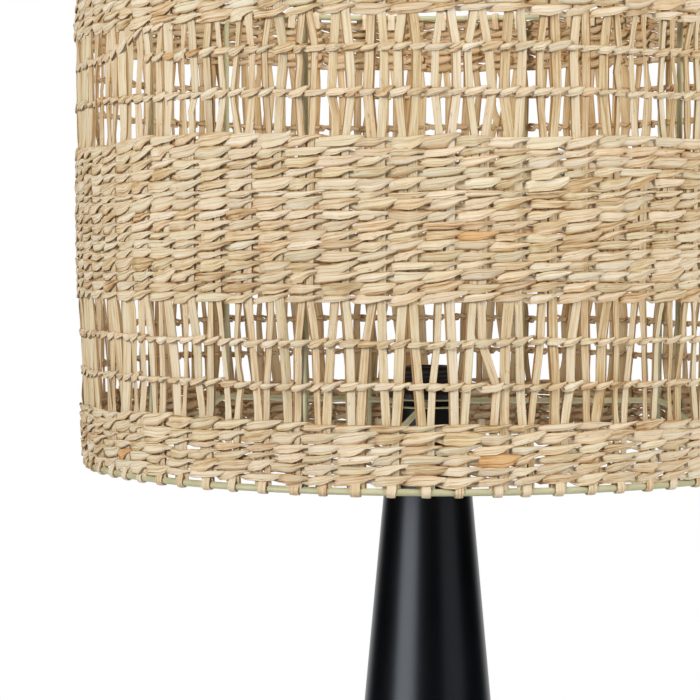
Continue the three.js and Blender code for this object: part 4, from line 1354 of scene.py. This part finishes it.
def cord_outlet():
    """A flanged bush square to the cone's wall at the back."""
    profile = soften([(4, -4.8), (6, -4.8), (7.2, -1.8), (6, -1.8), (6, 0.1), (9.5, 0.1),
                      (9.5, 2.0), (8.2, 2.8), (4, 2.8)], 0.6)
    points, faces = lathe(profile, 48)
    tilt = math.atan(CONE_SLOPE)
    ways = np.array([(-1, 0, 0), (0, -math.sin(tilt), math.cos(tilt)),
                     (0, math.cos(tilt), math.sin(tilt))])
    placed = points @ ways + (0, cone_radius(OUTLET_HEIGHT), OUTLET_HEIGHT)
    piece = make_mesh("cord_outlet_bush", placed, faces)
    finish_piece(piece, "stand", "black_plastic", "cord_outlet")


INNER_NODES = {  # CAD nodes that stay as they are, out of sight in the stand and the holder
    "zinc_steel": (
        "seat_disc", "tie_tube", "foot_washer", "foot_nut", "seat_washer", "seat_nut"),
    "black_plastic": ("holder_cap",),
    "cream_plastic": ("contact_block",),
    "brass": ("centre_contact", "live_terminal_screw", "neutral_terminal_screw")}


def finish_inner_nodes():
    for finish, nodes in INNER_NODES.items():
        for name in nodes:
            for slot in frame["nodes"][name].material_slots:
                slot.material = FINISHES[finish]


weave_bands()
weave_single_rows()
strips()
wrap_hoops()
discard(CANE_SECTIONS + STRIP_SECTIONS)
hoops()
upright_wires()
arms()
weld_beads()
fitter_washers()
clamp_ring()
holder_shell()
screw_sleeve()
cone()
foot_pieces()
cord_outlet()
finish_inner_nodes()


# Studio

FLOOR_RADIUS = 2.6  # metres, as all lengths of the studio
FLOOR_FADE = (0.5, 2.2)
FLOOR_GREY = 0.82
WORLD_DIFFUSE = 0.22
WORLD_GLOSS = (0.005, 1.0)  # before the lamp and behind it
BEHIND_FROM = (0.55, 0.95)
LAMPS = (  # name, azimuth, distance, height, sides, watts, height faced, only mirrored
    ("left", -134, 2.6, 2.5, (1.2, 1.0), 71, 1.3, False),
    ("right", -28, 3.0, 2.5, (1.0, 0.9), 85, 1.3, False),
    ("above", -90, 0.3, 2.9, (1.3, 1.3), 9, 1.3, False),
    ("behind", 95, 2.8, 2.7, (1.2, 1.1), 56, 1.3, False),
    ("tall_strip_left", -133, 2.4, 1.0, (1.6, 1.8), 40, 1.0, True),
    ("tall_strip_right", -39, 2.6, 0.9, (1.9, 1.5), 5.2, 0.9, True))


def seen_by_camera(tree, path):
    return maths(tree, "MAXIMUM", path["Is Camera Ray"], path["Is Transmission Ray"])


def mix_shaders(tree, share, first, second):
    return add_node(tree, "ShaderNodeMixShader", {0: share, 1: first, 2: second}).outputs[0]


def floor(sides=96):
    """A pale floor that fades into the white background and is clear from below."""
    rim = around(np.arange(sides) * 360 / sides, FLOOR_RADIUS, 0)
    mesh = bpy.data.meshes.new("floor")
    mesh.from_pydata(rim.tolist(), [], [list(range(sides))])
    material, tree, shader = new_finish("pale_floor", {
        "Roughness": 0.9, "Base Color": (FLOOR_GREY, FLOOR_GREY, FLOOR_GREY, 1)})
    place = add_node(tree, "ShaderNodeTexCoord").outputs["Object"]
    away = add_node(tree, "ShaderNodeVectorMath", {0: place}, operation="LENGTH")
    fade = fit_range(tree, away.outputs["Value"], FLOOR_FADE, interpolation_type="SMOOTHSTEP")
    path = add_node(tree, "ShaderNodeLightPath").outputs
    white = add_node(tree, "ShaderNodeEmission", {"Color": (1, 1, 1, 1), "Strength": 1.0})
    faded = mix_shaders(tree, maths(tree, "MULTIPLY", fade, seen_by_camera(tree, path)),
                        shader.outputs[0], white.outputs[0])
    below = add_node(tree, "ShaderNodeNewGeometry").outputs["Backfacing"]
    clear = add_node(tree, "ShaderNodeBsdfTransparent").outputs[0]
    connect(tree, mix_shaders(tree, below, faded, clear),
            tree.nodes["Material Output"].inputs["Surface"])
    mesh.materials.append(material)
    add_object("floor", mesh)


def world():
    """White to the camera; a grey light all round; bright behind and dark in front in gloss."""
    made = bpy.data.worlds.new("studio")
    bpy.context.scene.world = made
    made.use_nodes = True
    tree = made.node_tree
    tree.nodes.clear()
    path = add_node(tree, "ShaderNodeLightPath").outputs
    _, y, _ = separate(tree, add_node(tree, "ShaderNodeTexCoord").outputs["Generated"])
    mirrored = fit_range(tree, y, BEHIND_FROM, WORLD_GLOSS, interpolation_type="SMOOTHSTEP")
    unseen = mix(tree, path["Is Glossy Ray"], WORLD_DIFFUSE, mirrored, "FLOAT")
    strength = mix(tree, seen_by_camera(tree, path), unseen, 1.0, "FLOAT")
    background = add_node(tree, "ShaderNodeBackground", {
        "Color": (1, 1, 1, 1), "Strength": strength})
    output = add_node(tree, "ShaderNodeOutputWorld")
    connect(tree, background.outputs[0], output.inputs["Surface"])


def light(name, azimuth, distance, height, size, power, aim, only_mirrored):
    """A rectangular lamp at an azimuth, facing the axis. It either lights the object or is
    only mirrored in it."""
    data = bpy.data.lights.new(name, "AREA")
    data.shape = "RECTANGLE"
    data.size, data.size_y = size
    data.energy = power
    made = add_object(name, data)
    angle = math.radians(azimuth)
    made.location = (distance * math.cos(angle), distance * math.sin(angle), height)
    fall = math.atan2(height - aim, distance)
    made.rotation_euler = (math.pi / 2 - fall, 0, angle + math.pi / 2)
    made.visible_glossy = only_mirrored
    made.visible_diffuse = not only_mirrored


floor()
world()
for lamp in LAMPS:
    light(*lamp)
bpy.context.scene.view_settings.view_transform = "Standard"
